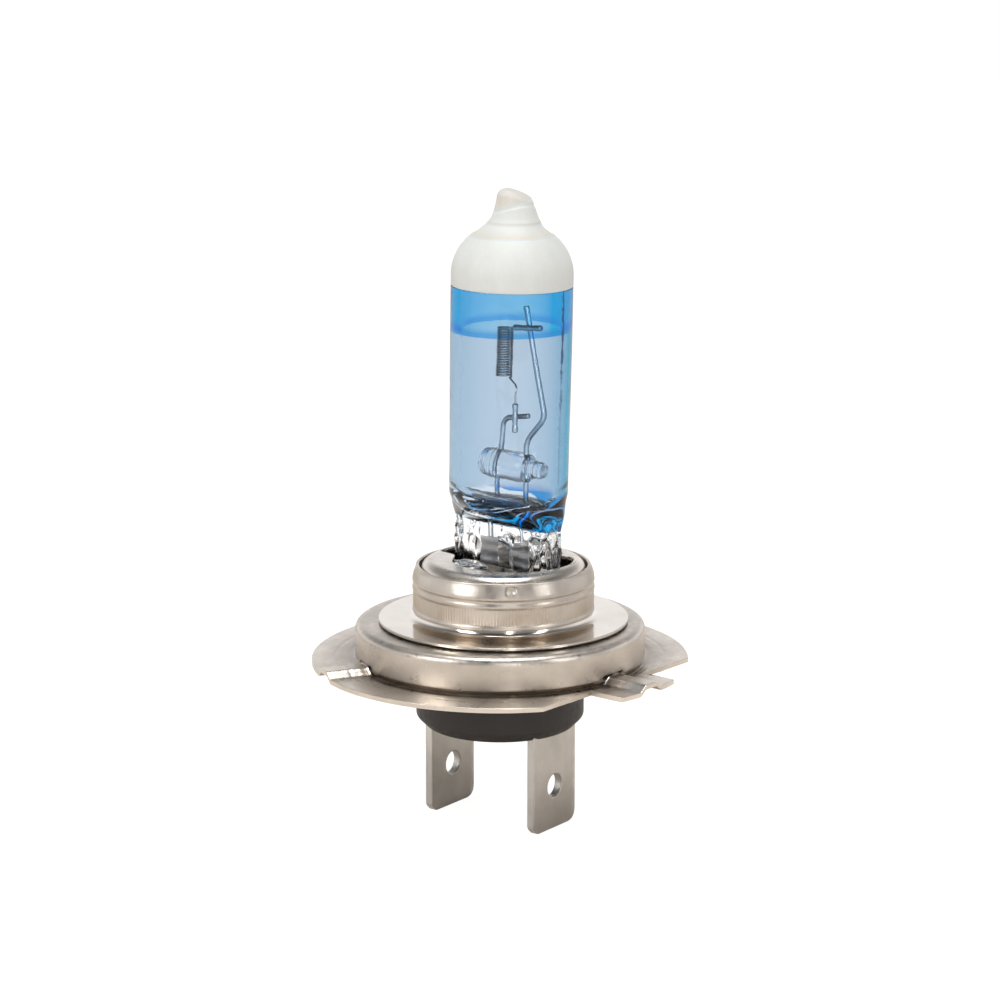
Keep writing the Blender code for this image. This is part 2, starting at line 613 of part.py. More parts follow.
def make_bridge(materials, axis):
    """Glass bead that ties the two posts, with shallow rings and a knob at its ends."""
    outline = ((0.0, -2.95), (0.95, -2.90), (1.26, -2.60), (1.16, -2.35), (1.34, -2.10), (1.20, -1.85),
               (1.36, -1.65), (1.36, 1.85), (1.24, 2.28), (0.86, 2.46), (0.80, 3.60), (0.60, 3.88),
               (0.0, 3.95))
    lay = Matrix.Translation((0.0, 0.0, BRIDGE_Z)) @ Matrix.Rotation(math.radians(90), 4, "Y")
    builder = turn([(radius * MM, along * MM) for radius, along in outline], 24, closed=False)
    bmesh.ops.transform(builder, matrix=lay, verts=builder.verts)
    bridge = add_object("glass_bridge", builder, materials["clear_glass"], axis)
    clear = POST_RADIUS + 0.04 * MM
    paths = {"short": [(-1.36, 14.5), (-1.36, 15.8), (-0.86, 18.78)], "long": [(1.96, 14.5), (1.94, 19.4)]}
    for name, corners in paths.items():
        path = rounded_path([(x * MM, 0.0, z * MM) for x, z in corners], 0.55 * MM)
        cut(bridge, f"bridge_hole_tool_{name}", sweep(path, clear, 8))
    return bridge


def make_foils(materials, axis):
    behind = POST_RADIUS + 0.05 * MM
    for name, x in (("short", SHORT_LEAD_X), ("long", LONG_LEAD_X)):
        builder = box((x - FOIL_HALF_WIDTH, -behind - FOIL_THICKNESS, FOIL_Z[0]),
                      (x + FOIL_HALF_WIDTH, -behind, FOIL_Z[1]))
        add_object(f"seal_foil_{name}", builder, materials["foil_metal"], axis)


def make_outer_leads(materials, axis):
    """Leads from the seal down to the inner faces of the terminal necks."""
    contact = TERMINAL_SPACING / 2 - TERMINAL_THICKNESS / 2 - LEAD_RADIUS - 0.06 * MM
    turn_to = Matrix.Rotation(TERMINAL_TURN, 4, "Z")
    for name, x, side in (("short", SHORT_LEAD_X, -1), ("long", LONG_LEAD_X, 1)):
        corners = [axis.matrix_world @ Vector((x, 0.0, LEAD_START_Z)),
                   axis.matrix_world @ Vector((x, 0.0, PINCH_BOTTOM - 1.2 * MM)),
                   turn_to @ Vector((side * contact, 0.0, 1.2 * MM)),
                   turn_to @ Vector((side * contact, 0.0, -0.9 * MM))]
        path = rounded_path(corners, 0.8 * MM)
        add_object(f"outer_lead_{name}", sweep(path, LEAD_RADIUS), materials["wire_metal"])


def main():
    for old in list(bpy.data.objects):
        bpy.data.objects.remove(old, do_unlink=True)
    materials = make_materials()
    make_flange(materials)
    make_drum(materials)
    make_base(materials)
    make_terminal(materials, "terminal_left", -1)
    make_terminal(materials, "terminal_right", 1)

    cap_axis = add_axis("cap_axis", CAP_SHIFT)
    make_focus_disc(materials, cap_axis)
    make_sleeve(materials, cap_axis)
    make_cover(materials, cap_axis)

    capsule_axis = add_axis("capsule_axis", CAPSULE_SHIFT, CAPSULE_LEAN)
    make_pinch_clip(materials, capsule_axis)
    make_glass(materials, capsule_axis)
    make_coating(materials, capsule_axis)
    make_bridge(materials, capsule_axis)
    make_posts(materials, capsule_axis)
    make_filament(materials, capsule_axis)
    make_clamps(materials, capsule_axis)
    make_foils(materials, capsule_axis)
    make_outer_leads(materials, capsule_axis)


main()
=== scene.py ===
"""Finished look of a halogen headlamp bulb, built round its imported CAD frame.

Frame: metres, +Z up the lamp axis to the glass tip, +X at the index tab, z = 0 on the bead tops.
"""

import math

import bmesh
import bpy
from bpy.props import FloatProperty, FloatVectorProperty, PointerProperty
from bpy.types import Operator, Panel, PropertyGroup
from mathutils import Matrix, Vector, noise


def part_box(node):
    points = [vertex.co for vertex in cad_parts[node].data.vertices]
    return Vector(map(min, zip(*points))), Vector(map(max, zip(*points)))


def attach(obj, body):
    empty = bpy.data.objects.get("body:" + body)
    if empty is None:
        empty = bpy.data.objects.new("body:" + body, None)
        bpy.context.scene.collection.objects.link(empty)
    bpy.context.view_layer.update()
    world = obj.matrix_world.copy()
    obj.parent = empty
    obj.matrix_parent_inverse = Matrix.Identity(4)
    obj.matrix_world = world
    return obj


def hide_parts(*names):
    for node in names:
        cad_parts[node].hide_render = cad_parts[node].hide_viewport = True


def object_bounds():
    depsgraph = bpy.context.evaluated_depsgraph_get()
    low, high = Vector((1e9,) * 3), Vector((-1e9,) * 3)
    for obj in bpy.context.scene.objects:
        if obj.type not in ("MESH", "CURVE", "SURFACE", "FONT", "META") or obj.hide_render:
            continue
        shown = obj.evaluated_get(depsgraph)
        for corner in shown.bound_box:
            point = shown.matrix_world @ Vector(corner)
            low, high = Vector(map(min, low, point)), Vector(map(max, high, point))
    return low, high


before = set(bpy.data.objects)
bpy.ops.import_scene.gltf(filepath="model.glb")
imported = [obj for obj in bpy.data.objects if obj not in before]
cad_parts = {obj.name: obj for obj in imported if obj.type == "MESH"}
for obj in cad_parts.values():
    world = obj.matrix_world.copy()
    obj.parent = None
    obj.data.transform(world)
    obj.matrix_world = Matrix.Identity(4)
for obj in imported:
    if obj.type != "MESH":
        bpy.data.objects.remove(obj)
CAD_BOX = [list(corner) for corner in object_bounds()]

bl_info = {
    "name": "Halogen Headlamp Bulb",
    "version": (1, 0, 0),
    "blender": (4, 5, 0),
    "location": "View3D > Sidebar > Bulb",
    "description": "Builds the finished headlamp bulb round its CAD frame",
    "category": "Add Mesh",
}

MM = 0.001
DEG = math.pi / 180
FOCUS_AZIMUTH = 40.2 * DEG
VIEW_RIGHT = (0.7638, 0.6455, 0.0)
VIEW_FRONT = (0.6455, -0.7638, 0.0)
VIEW_BACK = (-0.6455, 0.7638, 0.0)
CAMERA_PLACE = (171.58 * MM, -203.03 * MM, 73.34 * MM)
CAMERA_PITCH = 0.22074
SENSOR_WIDTH = 36.0
SOFT_LIGHTS = (("key_softbox", (-0.10, -0.50, 0.24), (0.20, 0.26), 1.0, True),
               ("side_softbox", (0.48, 0.02, 0.22), (0.10, 0.34), 0.5, True),
               ("top_softbox", (0.03, -0.03, 0.50), (0.26, 0.26), 1.7, True),
               ("fill_light", (0.30, -0.40, 0.12), (0.40, 0.40), 0.6, False),
               ("strip_light", (0.37, -0.33, 0.12), (0.05, 0.40), 0.35, True))
SKY_STOPS = ((0.0, 0.90), (0.15, 1.15), (0.40, 1.15), (0.54, 0.42), (0.72, 0.22), (0.88, 0.60))
FLAG_HALF_WIDTH = 0.007
FLAG_HEIGHT = 0.06
FLAG_PLACE = (0.022, 0.112)
FLAG_LIFT = 0.001
FLAG_TURN = 168 * DEG
SECTION_STEPS = 144
NOISE_OFFSETS = ((9.3, -1.5, -7.9), (0.0, 0.0, 0.0), (6.3, 0.2, -2.7))
WIRE_SHADE_LAYERS = 6
BEAD_AZIMUTHS = (0.0, 116 * DEG, -116 * DEG)
BEAD_OFFSETS = (0.0, 0.25, 0.45, 0.58, 0.68, 0.75, 0.82, 0.92, 1.06, 1.20, 1.30, 1.40, 1.50, 1.64, 1.85)
COVER_OPENING = ((-6.30, -1.50), (-4.10, -1.75), (-3.40, -2.90), (-2.60, -4.00), (0.00, -4.85),
                 (2.20, -4.60), (4.20, -3.50), (5.60, -1.60), (6.10, 0.60), (5.95, 2.40),
                 (5.50, 3.60), (4.20, 4.20), (3.40, 3.95), (2.60, 5.20), (0.00, 5.00),
                 (-2.60, 4.00), (-3.40, 2.90), (-4.10, 1.75), (-6.30, 1.50))


def frame_low(node, axis):
    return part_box(node)[0][axis]


def frame_high(node, axis):
    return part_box(node)[1][axis]


def length(name, description, default):
    return FloatProperty(name=name, description=description, default=default, min=0.0,
                         precision=5, unit="LENGTH", subtype="DISTANCE")


def height(name, description, default):
    return FloatProperty(name=name, description=description, default=default,
                         precision=5, unit="LENGTH", subtype="DISTANCE")


def turned_angle(name, description, degrees):
    return FloatProperty(name=name, description=description, default=degrees * DEG,
                         unit="ROTATION", subtype="ANGLE")


def colour(name, description, default):
    return FloatVectorProperty(name=name, description=description, default=default,
                               min=0.0, max=1.0, size=3, subtype="COLOR")


def share(name, description, default, high=1.0):
    return FloatProperty(name=name, description=description, default=default, min=0.0, max=high,
                         subtype="FACTOR")


# Sizes and colours

class BulbFlangeSizes(PropertyGroup):
    plate_top: height("Plate top", "Height of the flange plate's upper face", -0.55 * MM)
    plate_sheet: length("Plate sheet", "Thickness of the flange plate",
                        -0.55 * MM - frame_low("index_flange", 2))
    radius: length("Radius", "Outer radius of the flange", 16.88 * MM)
    chord: length("Chord", "Distance from the axis to the flat on the index side", 13.42 * MM)
    tab_radius: length("Tab radius", "Outer radius of the index tab",
                       frame_high("index_flange", 0))
    tab_half: length("Tab half width", "Half the width of the index tab", 3.72 * MM)
    bead_foot: length("Bead foot", "Half the width of a bead at the plate", 1.40 * MM)
    bead_top: length("Bead top", "Half the width of a bead's flat top", 0.75 * MM)
    collar_outer: length("Collar outer", "Outer radius of the upright collar", 12.62 * MM)
    collar_inner: length("Collar inner", "Inner radius of the upright collar", 12.30 * MM)
    collar_top: height("Collar top", "Height of the collar's edge", 1.60 * MM)
    collar_bend: length("Collar bend", "Bend from plate to collar", 0.50 * MM)


class BulbCapSizes(PropertyGroup):
    drum_radius: length("Drum radius", "Outer radius of the drum", 13.0 * MM)
    drum_top: height("Drum top", "Height of the drum's upper face", frame_high("reference_drum", 2))
    drum_bottom: height("Drum bottom", "Height of the drum's lower edge",
                        frame_low("reference_drum", 2))
    drum_hole: length("Drum hole", "Radius of the hole in the drum's top", 8.9 * MM)
    drum_shoulder: length("Drum shoulder", "Bend at the drum's top edge", 0.80 * MM)
    disc_radius: length("Disc radius", "Outer radius of the focusing disc", 11.17 * MM)
    disc_top: height("Disc top", "Height of the disc's upper face", 3.13 * MM)
    sleeve_lower: length("Sleeve lower", "Radius of the sleeve's lower band", 8.15 * MM)
    sleeve_upper: length("Sleeve upper", "Radius of the sleeve's upper band", 7.81 * MM)
    cover_radius: length("Cover radius", "Outer radius of the cover", 7.42 * MM)
    cover_top: height("Cover top", "Height of the cover's top", frame_high("cap_cover", 2))
    shift: length("Shift", "How far the cap sits off the drum's axis", 0.30 * MM)


class BulbTerminalSizes(PropertyGroup):
    width: length("Width", "Width of a blade", 6.30 * MM)
    thickness: length("Thickness", "Thickness of a blade", 0.80 * MM)
    spacing: length("Spacing", "Distance between the blades", 11.41 * MM)
    bottom: height("Bottom", "Height of the blades' ends", frame_low("terminal_left", 2))
    hole_height: height("Hole height", "Height of the detent hole", -11.61 * MM)
    hole_radius: length("Hole radius", "Radius of the detent hole", 1.05 * MM)
    edge: length("Edge", "Rounding of the sheared edges", 0.11 * MM)
    turn: turned_angle("Turn", "Turn of the pair about the axis", 3.6)
    base_radius: length("Base radius", "Radius of the moulded base", 7.54 * MM)
    base_bottom: height("Base bottom", "Height of the base's lower face",
                        frame_low("insulator_base", 2))


class BulbGlassSizes(PropertyGroup):
    radius: length("Radius", "Outer radius of the glass", 5.37 * MM)
    wall: length("Wall", "Thickness of the glass wall", 0.95 * MM)
    pinch_half: length("Pinch half width", "Half the width of the flat seal", 5.45 * MM)
    pinch_thick: length("Pinch half thickness", "Half the thickness of the flat seal", 1.40 * MM)
    coating_edge: height("Coating edge", "Height of the white coating's edge", 32.95 * MM)
    tip_top: height("Tip top", "Height of the sealed tip", 41.43 * MM)
    shift: length("Shift", "How far the glass sits off the drum's axis", 0.522 * MM)
    lean: turned_angle("Lean", "Lean of the glass", 0.917)


class BulbWireSizes(PropertyGroup):
    post_radius: length("Post radius", "Radius of the support posts", 0.235 * MM)
    lead_radius: length("Lead radius", "Radius of the outer leads", 0.25 * MM)
    coil_radius: length("Coil radius", "Radius of the filament coil", 0.665 * MM)
    coil_pitch: length("Coil pitch", "Distance between turns of the coil", 0.2205 * MM)
    coil_wire: length("Coil wire", "Radius of the filament wire", 0.083 * MM)
    clamp_radius: length("Clamp radius", "Radius of the clamp tubes", 0.265 * MM)


class BulbColours(PropertyGroup):
    nickel: colour("Nickel", "Satin plated steel", (0.66, 0.60, 0.535))
    bright: colour("Bright nickel", "Bright plated steel", (0.70, 0.65, 0.59))
    blade: colour("Blade", "Tin-plated terminal metal", (0.55, 0.52, 0.485))
    stain: colour("Heat stain", "Brown tint left by the welds", (0.36, 0.24, 0.13))
    black: colour("Base", "Moulded base", (0.0125, 0.0100, 0.0088))
    white: colour("Dome", "Fired white coating", (0.61, 0.625, 0.605))
    deep_blue: colour("Deep blue", "Thick lower edge of the filter", (0.0, 0.13, 0.62))
    dense_blue: colour("Dense blue", "Upper band of the filter", (0.135, 0.430, 0.710))
    rim_blue: colour("Rim blue", "Lower edge of the upper band", (0.012, 0.215, 0.640))
    pale_blue: colour("Pale blue", "Middle of the filter", (0.405, 0.530, 0.668))
    wire: colour("Wire", "Support wires", (0.86, 0.90, 0.94))
    tungsten: colour("Tungsten", "Filament wire", (0.78, 0.86, 0.92))


class BulbStageSettings(PropertyGroup):
    floor_radius: length("Floor radius", "Radius of the round floor", 6.0)
    lens: FloatProperty(name="Lens", description="Focal length of the camera", default=110.55,
                        unit="CAMERA")
    world: share("World", "Strength of the even light", 1.0, 4.0)
    key: FloatProperty(name="Key light", description="Power of the main soft light", default=0.95,
                       unit="POWER")


# Mesh tools

def clamped(value):
    return min(1.0, max(0.0, value))


def on_bead(azimuth):
    return any(abs(math.remainder(azimuth - bead, 2 * math.pi)) < 0.01 for bead in BEAD_AZIMUTHS)


def arc(centre, radius, start, end, steps):
    """Points on a circle from start to end, in degrees, both ends included."""
    turns = (math.radians(start + (end - start) * i / steps) for i in range(steps + 1))
    return [(centre[0] + radius * math.cos(a), centre[1] + radius * math.sin(a)) for a in turns]


def soften(corners, reach, steps=4, closed=False):
    """Turn each corner of a path over a curve that starts `reach` away from it."""
    points = [Vector(corner) for corner in corners]
    reaches = list(reach) if hasattr(reach, "__iter__") else [reach] * len(points)
    path = []
    for i, corner in enumerate(points):
        if reaches[i] == 0.0 or (not closed and i in (0, len(points) - 1)):
            path.append(corner)
            continue
        before, after = points[i - 1] - corner, points[(i + 1) % len(points)] - corner
        entry = corner + before.normalized() * min(reaches[i], 0.48 * before.length)
        leave = corner + after.normalized() * min(reaches[i], 0.48 * after.length)
        for k in range(steps + 1):
            t = k / steps
            path.append(entry * (1 - t) ** 2 + corner * 2 * t * (1 - t) + leave * t ** 2)
    return path


def spread(path, step, closed=False):
    """Put points between those of a path so that no stretch is longer than `step`."""
    points = [Vector(point) for point in path]
    ends = points[1:] + points[:1] if closed else points[1:]
    made = []
    for start, end in zip(points, ends):
        pieces = max(1, math.ceil((end - start).length / step))
        made += [start.lerp(end, k / pieces) for k in range(pieces)]
    return made if closed else made + [points[-1]]


def stack(rings, closed=False):
    """Join rings of points in order; a ring of one point closes the mesh on the axis."""
    builder = bmesh.new()
    made = [[builder.verts.new(point) for point in ring] for ring in rings]
    pairs = list(zip(made, made[1:])) + ([(made[-1], made[0])] if closed else [])
    for lower, upper in pairs:
        steps = max(len(lower), len(upper))
        for i in range(steps):
            j = (i + 1) % steps
            corners = (lower[i % len(lower)], lower[j % len(lower)],
                       upper[j % len(upper)], upper[i % len(upper)])
            builder.faces.new(list(dict.fromkeys(corners)))
    bmesh.ops.recalc_face_normals(builder, faces=builder.faces)
    return builder


def capped(rings):
    """Join rings of points in order and close both ends with flat faces."""
    builder = stack(rings)
    builder.verts.ensure_lookup_table()
    count = len(rings[0])
    builder.faces.new(builder.verts[:count])
    builder.faces.new(builder.verts[-count:])
    bmesh.ops.recalc_face_normals(builder, faces=builder.faces)
    return builder


def turned(profile, steps=180, closed=True):
    """Turn (radius, height) points about the axis; radius 0 makes a point on it."""
    angles = [2 * math.pi * i / steps for i in range(steps)]
    rings = [[(r * math.cos(a), r * math.sin(a), z) for a in angles] if r else [(0.0, 0.0, z)]
             for r, z in profile]
    return stack(rings, closed)


def bead_columns():
    """Columns (azimuth, offset) round the axis, with lines parallel to each bead's middle."""
    keep = 9.4 * DEG
    columns = [(azimuth, side * offset * MM) for azimuth in BEAD_AZIMUTHS
               for offset in BEAD_OFFSETS for side in ((1,) if offset == 0.0 else (-1, 1))]
    plain = [i * DEG for i in range(-180, 180)]
    plain += [side * turn * DEG for side in (-1, 1) for turn in
              (11.9, 12.45, 12.55, 13.2, 14.2, 15.45, 15.55, 36.9, 37.27, 37.45)]
    for angle in plain:
        if all(abs(math.remainder(angle - bead, 2 * math.pi)) > keep for bead in BEAD_AZIMUTHS):
            columns.append((angle, 0.0))
    middle = 14.5 * MM
    return sorted(columns, key=lambda c: math.remainder(c[0] + math.asin(c[1] / middle), 2 * math.pi))


def columns_mesh(columns, profile, shape):
    """Turn a closed profile over columns, moving each point as shape(azimuth, offset, r, z) says."""
    builder = bmesh.new()
    lines = []
    for azimuth, offset in columns:
        line = []
        for point in profile:
            r, z = shape(azimuth, offset, *point)
            angle = azimuth + (math.asin(offset / r) if offset else 0.0)
            line.append(builder.verts.new((r * math.cos(angle), r * math.sin(angle), z)))
        lines.append(line)
    for line, following in zip(lines, lines[1:] + lines[:1]):
        for i in range(len(line)):
            j = (i + 1) % len(line)
            builder.faces.new((line[i], following[i], following[j], line[j]))
    bmesh.ops.recalc_face_normals(builder, faces=builder.faces)
    return builder


def sweep(path, radius, sides=16):
    """A round wire along a path, with softly rounded ends."""
    points = [Vector(point) for point in path]
    normal = Vector((0.0, 1.0, 0.0))
    rings = []
    for i, point in enumerate(points):
        along = (points[min(i + 1, len(points) - 1)] - points[max(i - 1, 0)]).normalized()
        across = (normal - along * normal.dot(along)).normalized()
        normal = across
        other = along.cross(across)
        ends = ((0.0, 1.0),)
        if i == 0:
            ends = ((0.0, 0.55), (0.10, 0.85), (0.30, 1.0))
        elif i == len(points) - 1:
            ends = ((-0.30, 1.0), (-0.10, 0.85), (0.0, 0.55))
        for shift, size in ends:
            centre = point + along * shift * radius
            rings.append([centre + radius * size * (across * math.cos(a) + other * math.sin(a))
                          for a in (2 * math.pi * k / sides for k in range(sides))])
    return capped(rings)


def ripple(builder, amount, density, seed=0.0):
    """Move every point in along its normal by smooth noise, as pressed and drawn parts have."""
    builder.normal_update()
    shift = Vector((seed, seed * 1.7, seed * 0.6))
    for vert in builder.verts:
        level = 0.5 + 0.5 * noise.noise(vert.co * density + shift)
        vert.co -= vert.normal * amount * level


def scattered(point):
    """A smooth noise vector that is the same each run, from three fixed offsets."""
    return Vector([noise.noise(point + Vector(offset)) for offset in NOISE_OFFSETS])


def merged(first, second):
    """One mesh from two; the second is used up."""
    mesh = bpy.data.meshes.new("joined")
    second.to_mesh(mesh)
    second.free()
    first.from_mesh(mesh)
    bpy.data.meshes.remove(mesh)
    return first


def offset_axis(shift, lean=0.0):
    """A place off the lamp axis towards the focusing azimuth, leaning that way."""
    towards = Vector((math.cos(FOCUS_AZIMUTH), math.sin(FOCUS_AZIMUTH), 0.0))
    hinge = Vector((0.0, 0.0, 1.0)).cross(towards)
    return Matrix.Translation(towards * shift) @ Matrix.Rotation(lean, 4, hinge)


def capsule_axis():
    sizes = bpy.context.scene.bulb_glass
    return offset_axis(sizes.shift, sizes.lean)


def cap_axis():
    return offset_axis(bpy.context.scene.bulb_cap.shift)


def add_piece(name, node, builder, materials, place=None, crease=35, flats=False):
    """Make a piece from a mesh, stand it for its CAD node and let it ride on the body."""
    if place is not None:
        bmesh.ops.transform(builder, matrix=place, verts=builder.verts)
    mesh = bpy.data.meshes.new(name)
    builder.to_mesh(mesh)
    builder.free()
    for material in materials:
        mesh.materials.append(material)
    mesh.shade_smooth()
    mesh.set_sharp_from_angle(angle=crease * DEG)
    piece = bpy.data.objects.new(name, mesh)
    bpy.context.scene.collection.objects.link(piece)
    if flats:
        weighting = piece.modifiers.new("flat_faces", "WEIGHTED_NORMAL")
        weighting.keep_sharp = True
    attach(piece, "root")
    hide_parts(node)
    return piece


# Node tools

def add_node(tree, kind, values=None, **settings):
    """Add a node; a value that is a socket is linked, any other is set."""
    node = tree.nodes.new(kind)
    for key, setting in settings.items():
        setattr(node, key, setting)
    for socket, value in (values or {}).items():
        if isinstance(value, bpy.types.NodeSocket):
            tree.links.new(value, node.inputs[socket])
        else:
            node.inputs[socket].default_value = value
    return node


def arithmetic(tree, operation, first, second=0.0, third=0.0):
    return add_node(tree, "ShaderNodeMath", {0: first, 1: second, 2: third},
                    operation=operation).outputs[0]


def ranged(tree, value, from_low, from_high, to_low=0.0, to_high=1.0):
    values = {"Value": value, "From Min": from_low, "From Max": from_high,
              "To Min": to_low, "To Max": to_high}
    return add_node(tree, "ShaderNodeMapRange", values).outputs["Result"]


def mixed(tree, factor, first, second, blend="MIX"):
    values = {"Factor": factor}
    node = add_node(tree, "ShaderNodeMix", values, data_type="RGBA", blend_type=blend)
    for socket, value in (("A", first), ("B", second)):
        target = next(s for s in node.inputs if s.name == socket and s.type == "RGBA")
        if isinstance(value, bpy.types.NodeSocket):
            tree.links.new(value, target)
        else:
            target.default_value = (*value[:3], 1.0)
    return next(s for s in node.outputs if s.type == "RGBA")


def own_place(tree):
    """Where a point lies on the piece itself."""
    return add_node(tree, "ShaderNodeTexCoord").outputs["Object"]


def height_of(tree, vector):
    return add_node(tree, "ShaderNodeSeparateXYZ", {0: vector}).outputs["Z"]


def cloudy(tree, vector, scale, detail=2.0):
    return add_node(tree, "ShaderNodeTexNoise", {"Vector": vector, "Scale": scale,
                                                 "Detail": detail}).outputs["Fac"]


def measured_along(tree, vector, direction):
    return add_node(tree, "ShaderNodeVectorMath", {0: vector, 1: direction},
                    operation="DOT_PRODUCT").outputs["Value"]


def add_bump(tree, shader, level, strength, distance):
    raised = add_node(tree, "ShaderNodeBump", {"Height": level, "Strength": strength,
                                               "Distance": distance})
    tree.links.new(raised.outputs["Normal"], shader.inputs["Normal"])


def new_group(name, inputs, outputs):
    """A shader group with named sockets; returns its tree, its inputs and its output node."""
    tree = bpy.data.node_groups.new(name, "ShaderNodeTree")
    for label, kind, default in inputs:
        tree.interface.new_socket(label, in_out="INPUT", socket_type=kind).default_value = default
    for label, kind in outputs:
        tree.interface.new_socket(label, in_out="OUTPUT", socket_type=kind)
    return tree, tree.nodes.new("NodeGroupInput").outputs, tree.nodes.new("NodeGroupOutput")


def laid_over(tree, given, out, mask, second):
    """Send out a mask, and the given colour with a second one laid over it there."""
    tree.links.new(mask, out.inputs["Mask"])
    tree.links.new(mixed(tree, mask, given["Color"], given[second]), out.inputs["Color"])
    return tree


FLOAT, VECTOR, COLOUR = "NodeSocketFloat", "NodeSocketVector", "NodeSocketColor"


def grain_group():
    """Drawn or rolled grain: noise stretched by a density for each direction."""
    tree, given, out = new_group(
        "sheet_grain",
        [("Density", VECTOR, (900.0, 900.0, 900.0)), ("Low", FLOAT, 0.2), ("High", FLOAT, 0.4)],
        [("Value", FLOAT), ("Level", FLOAT)])
    place = own_place(tree)
    stretched = add_node(tree, "ShaderNodeVectorMath", {0: place, 1: given["Density"]},
                         operation="MULTIPLY").outputs[0]
    fine = add_node(tree, "ShaderNodeTexNoise", {"Vector": stretched, "Scale": 1.0, "Detail": 5.0,
                                                 "Roughness": 0.62}).outputs["Fac"]
    value = ranged(tree, fine, 0.32, 0.68)
    tree.links.new(value, out.inputs["Value"])
    level = add_node(tree, "ShaderNodeMapRange", {"Value": value, "To Min": given["Low"],
                                                  "To Max": given["High"]}).outputs["Result"]
    tree.links.new(level, out.inputs["Level"])
    return tree


def wear_group():
    """Polished and rubbed edges, broken up along their length."""
    tree, given, out = new_group(
        "edge_wear",
        [("Color", COLOUR, (0.5, 0.5, 0.5, 1.0)), ("Worn Color", COLOUR, (0.9, 0.9, 0.9, 1.0)),
         ("Amount", FLOAT, 0.6), ("Breakup", FLOAT, 900.0)],
        [("Color", COLOUR), ("Mask", FLOAT)])
    edge = ranged(tree, add_node(tree, "ShaderNodeNewGeometry").outputs["Pointiness"], 0.515, 0.60)
    place = own_place(tree)
    broken = cloudy(tree, place, given["Breakup"], 3.0)
    mask = arithmetic(tree, "MULTIPLY", edge, ranged(tree, broken, 0.35, 0.6, 0.35, 1.0))
    mask = arithmetic(tree, "MULTIPLY", mask, given["Amount"])
    return laid_over(tree, given, out, mask, "Worn Color")


def stain_group():
    """A soft uneven tint about one height, such as heat leaves beside a weld."""
    tree, given, out = new_group(
        "heat_stain",
        [("Color", COLOUR, (0.5, 0.5, 0.5, 1.0)), ("Stain", COLOUR, (0.4, 0.25, 0.1, 1.0)),
         ("Height", FLOAT, 0.0), ("Spread", FLOAT, 0.002), ("Amount", FLOAT, 0.4)],
        [("Color", COLOUR), ("Mask", FLOAT)])
    place = own_place(tree)
    z = height_of(tree, place)
    away = arithmetic(tree, "ABSOLUTE", arithmetic(tree, "SUBTRACT", z, given["Height"]))
    near = arithmetic(tree, "SUBTRACT", 1.0, arithmetic(tree, "DIVIDE", away, given["Spread"]))
    patch = cloudy(tree, place, 260.0, 4.0)
    mask = arithmetic(tree, "MULTIPLY", ranged(tree, near, 0.0, 0.8), ranged(tree, patch, 0.42, 0.62))
    mask = arithmetic(tree, "MULTIPLY", mask, given["Amount"])
    return laid_over(tree, given, out, mask, "Stain")


def dust_group():
    """Fine specks and smudges, mostly on faces that look up."""
    tree, given, out = new_group(
        "dust_and_smudges",
        [("Color", COLOUR, (0.5, 0.5, 0.5, 1.0)), ("Dust Color", COLOUR, (0.5, 0.48, 0.44, 1.0)),
         ("Amount", FLOAT, 0.3), ("Density", FLOAT, 5200.0)],
        [("Color", COLOUR), ("Mask", FLOAT)])
    place = own_place(tree)
    normal = add_node(tree, "ShaderNodeNewGeometry").outputs["Normal"]
    up = ranged(tree, height_of(tree, normal), -0.3, 1.0, 0.25)
    specks = add_node(tree, "ShaderNodeTexVoronoi", {"Vector": place, "Scale": given["Density"],
                                                     "Randomness": 1.0}).outputs["Distance"]
    smudge = cloudy(tree, place, 420.0, 6.0)
    mask = arithmetic(tree, "MULTIPLY", ranged(tree, specks, 0.16, 0.06), ranged(tree, smudge, 0.5, 0.66))
    mask = arithmetic(tree, "MULTIPLY", arithmetic(tree, "MULTIPLY", mask, up), given["Amount"])
    return laid_over(tree, given, out, mask, "Dust Color")


def crevice_shade_group():
    """Painted shade in the corner at one radius, darkest there and thinning outwards."""
    tree, given, out = new_group(
        "painted_crevice_shade",
        [("Color", COLOUR, (0.5, 0.5, 0.5, 1.0)), ("Shade Color", COLOUR, (0.15, 0.11, 0.08, 1.0)),
         ("Radius", FLOAT, 0.013), ("Spread", FLOAT, 0.002), ("Amount", FLOAT, 0.6)],
        [("Color", COLOUR), ("Mask", FLOAT)])
    place = own_place(tree)
    flat = add_node(tree, "ShaderNodeVectorMath", {0: place, 1: (1.0, 1.0, 0.0)}, operation="MULTIPLY")
    radius = add_node(tree, "ShaderNodeVectorMath", {0: flat.outputs["Vector"]},
                      operation="LENGTH").outputs["Value"]
    patchy = cloudy(tree, place, 420.0, 4.0)
    away = arithmetic(tree, "DIVIDE", arithmetic(tree, "SUBTRACT", radius, given["Radius"]),
                      given["Spread"])
    mask = arithmetic(tree, "MULTIPLY", ranged(tree, away, 0.0, 1.0, 1.0, 0.0),
                      ranged(tree, patchy, 0.3, 0.7, 0.75, 1.0))
    mask = arithmetic(tree, "MULTIPLY", mask, given["Amount"])
    return laid_over(tree, given, out, mask, "Shade Color")


GROUP_MAKERS = {"painted_crevice_shade": crevice_shade_group, "sheet_grain": grain_group, "edge_wear": wear_group,
                "heat_stain": stain_group, "dust_and_smudges": dust_group}


def use_group(tree, name, values):
    group = bpy.data.node_groups.get(name) or GROUP_MAKERS[name]()
    node = tree.nodes.new("ShaderNodeGroup")
    node.node_tree = group
    for socket, value in values.items():
        if isinstance(value, bpy.types.NodeSocket):
            tree.links.new(value, node.inputs[socket])
        elif hasattr(value, "__len__") and node.inputs[socket].type == "RGBA":
            node.inputs[socket].default_value = (*value[:3], 1.0)
        else:
            node.inputs[socket].default_value = value
    return node.outputs


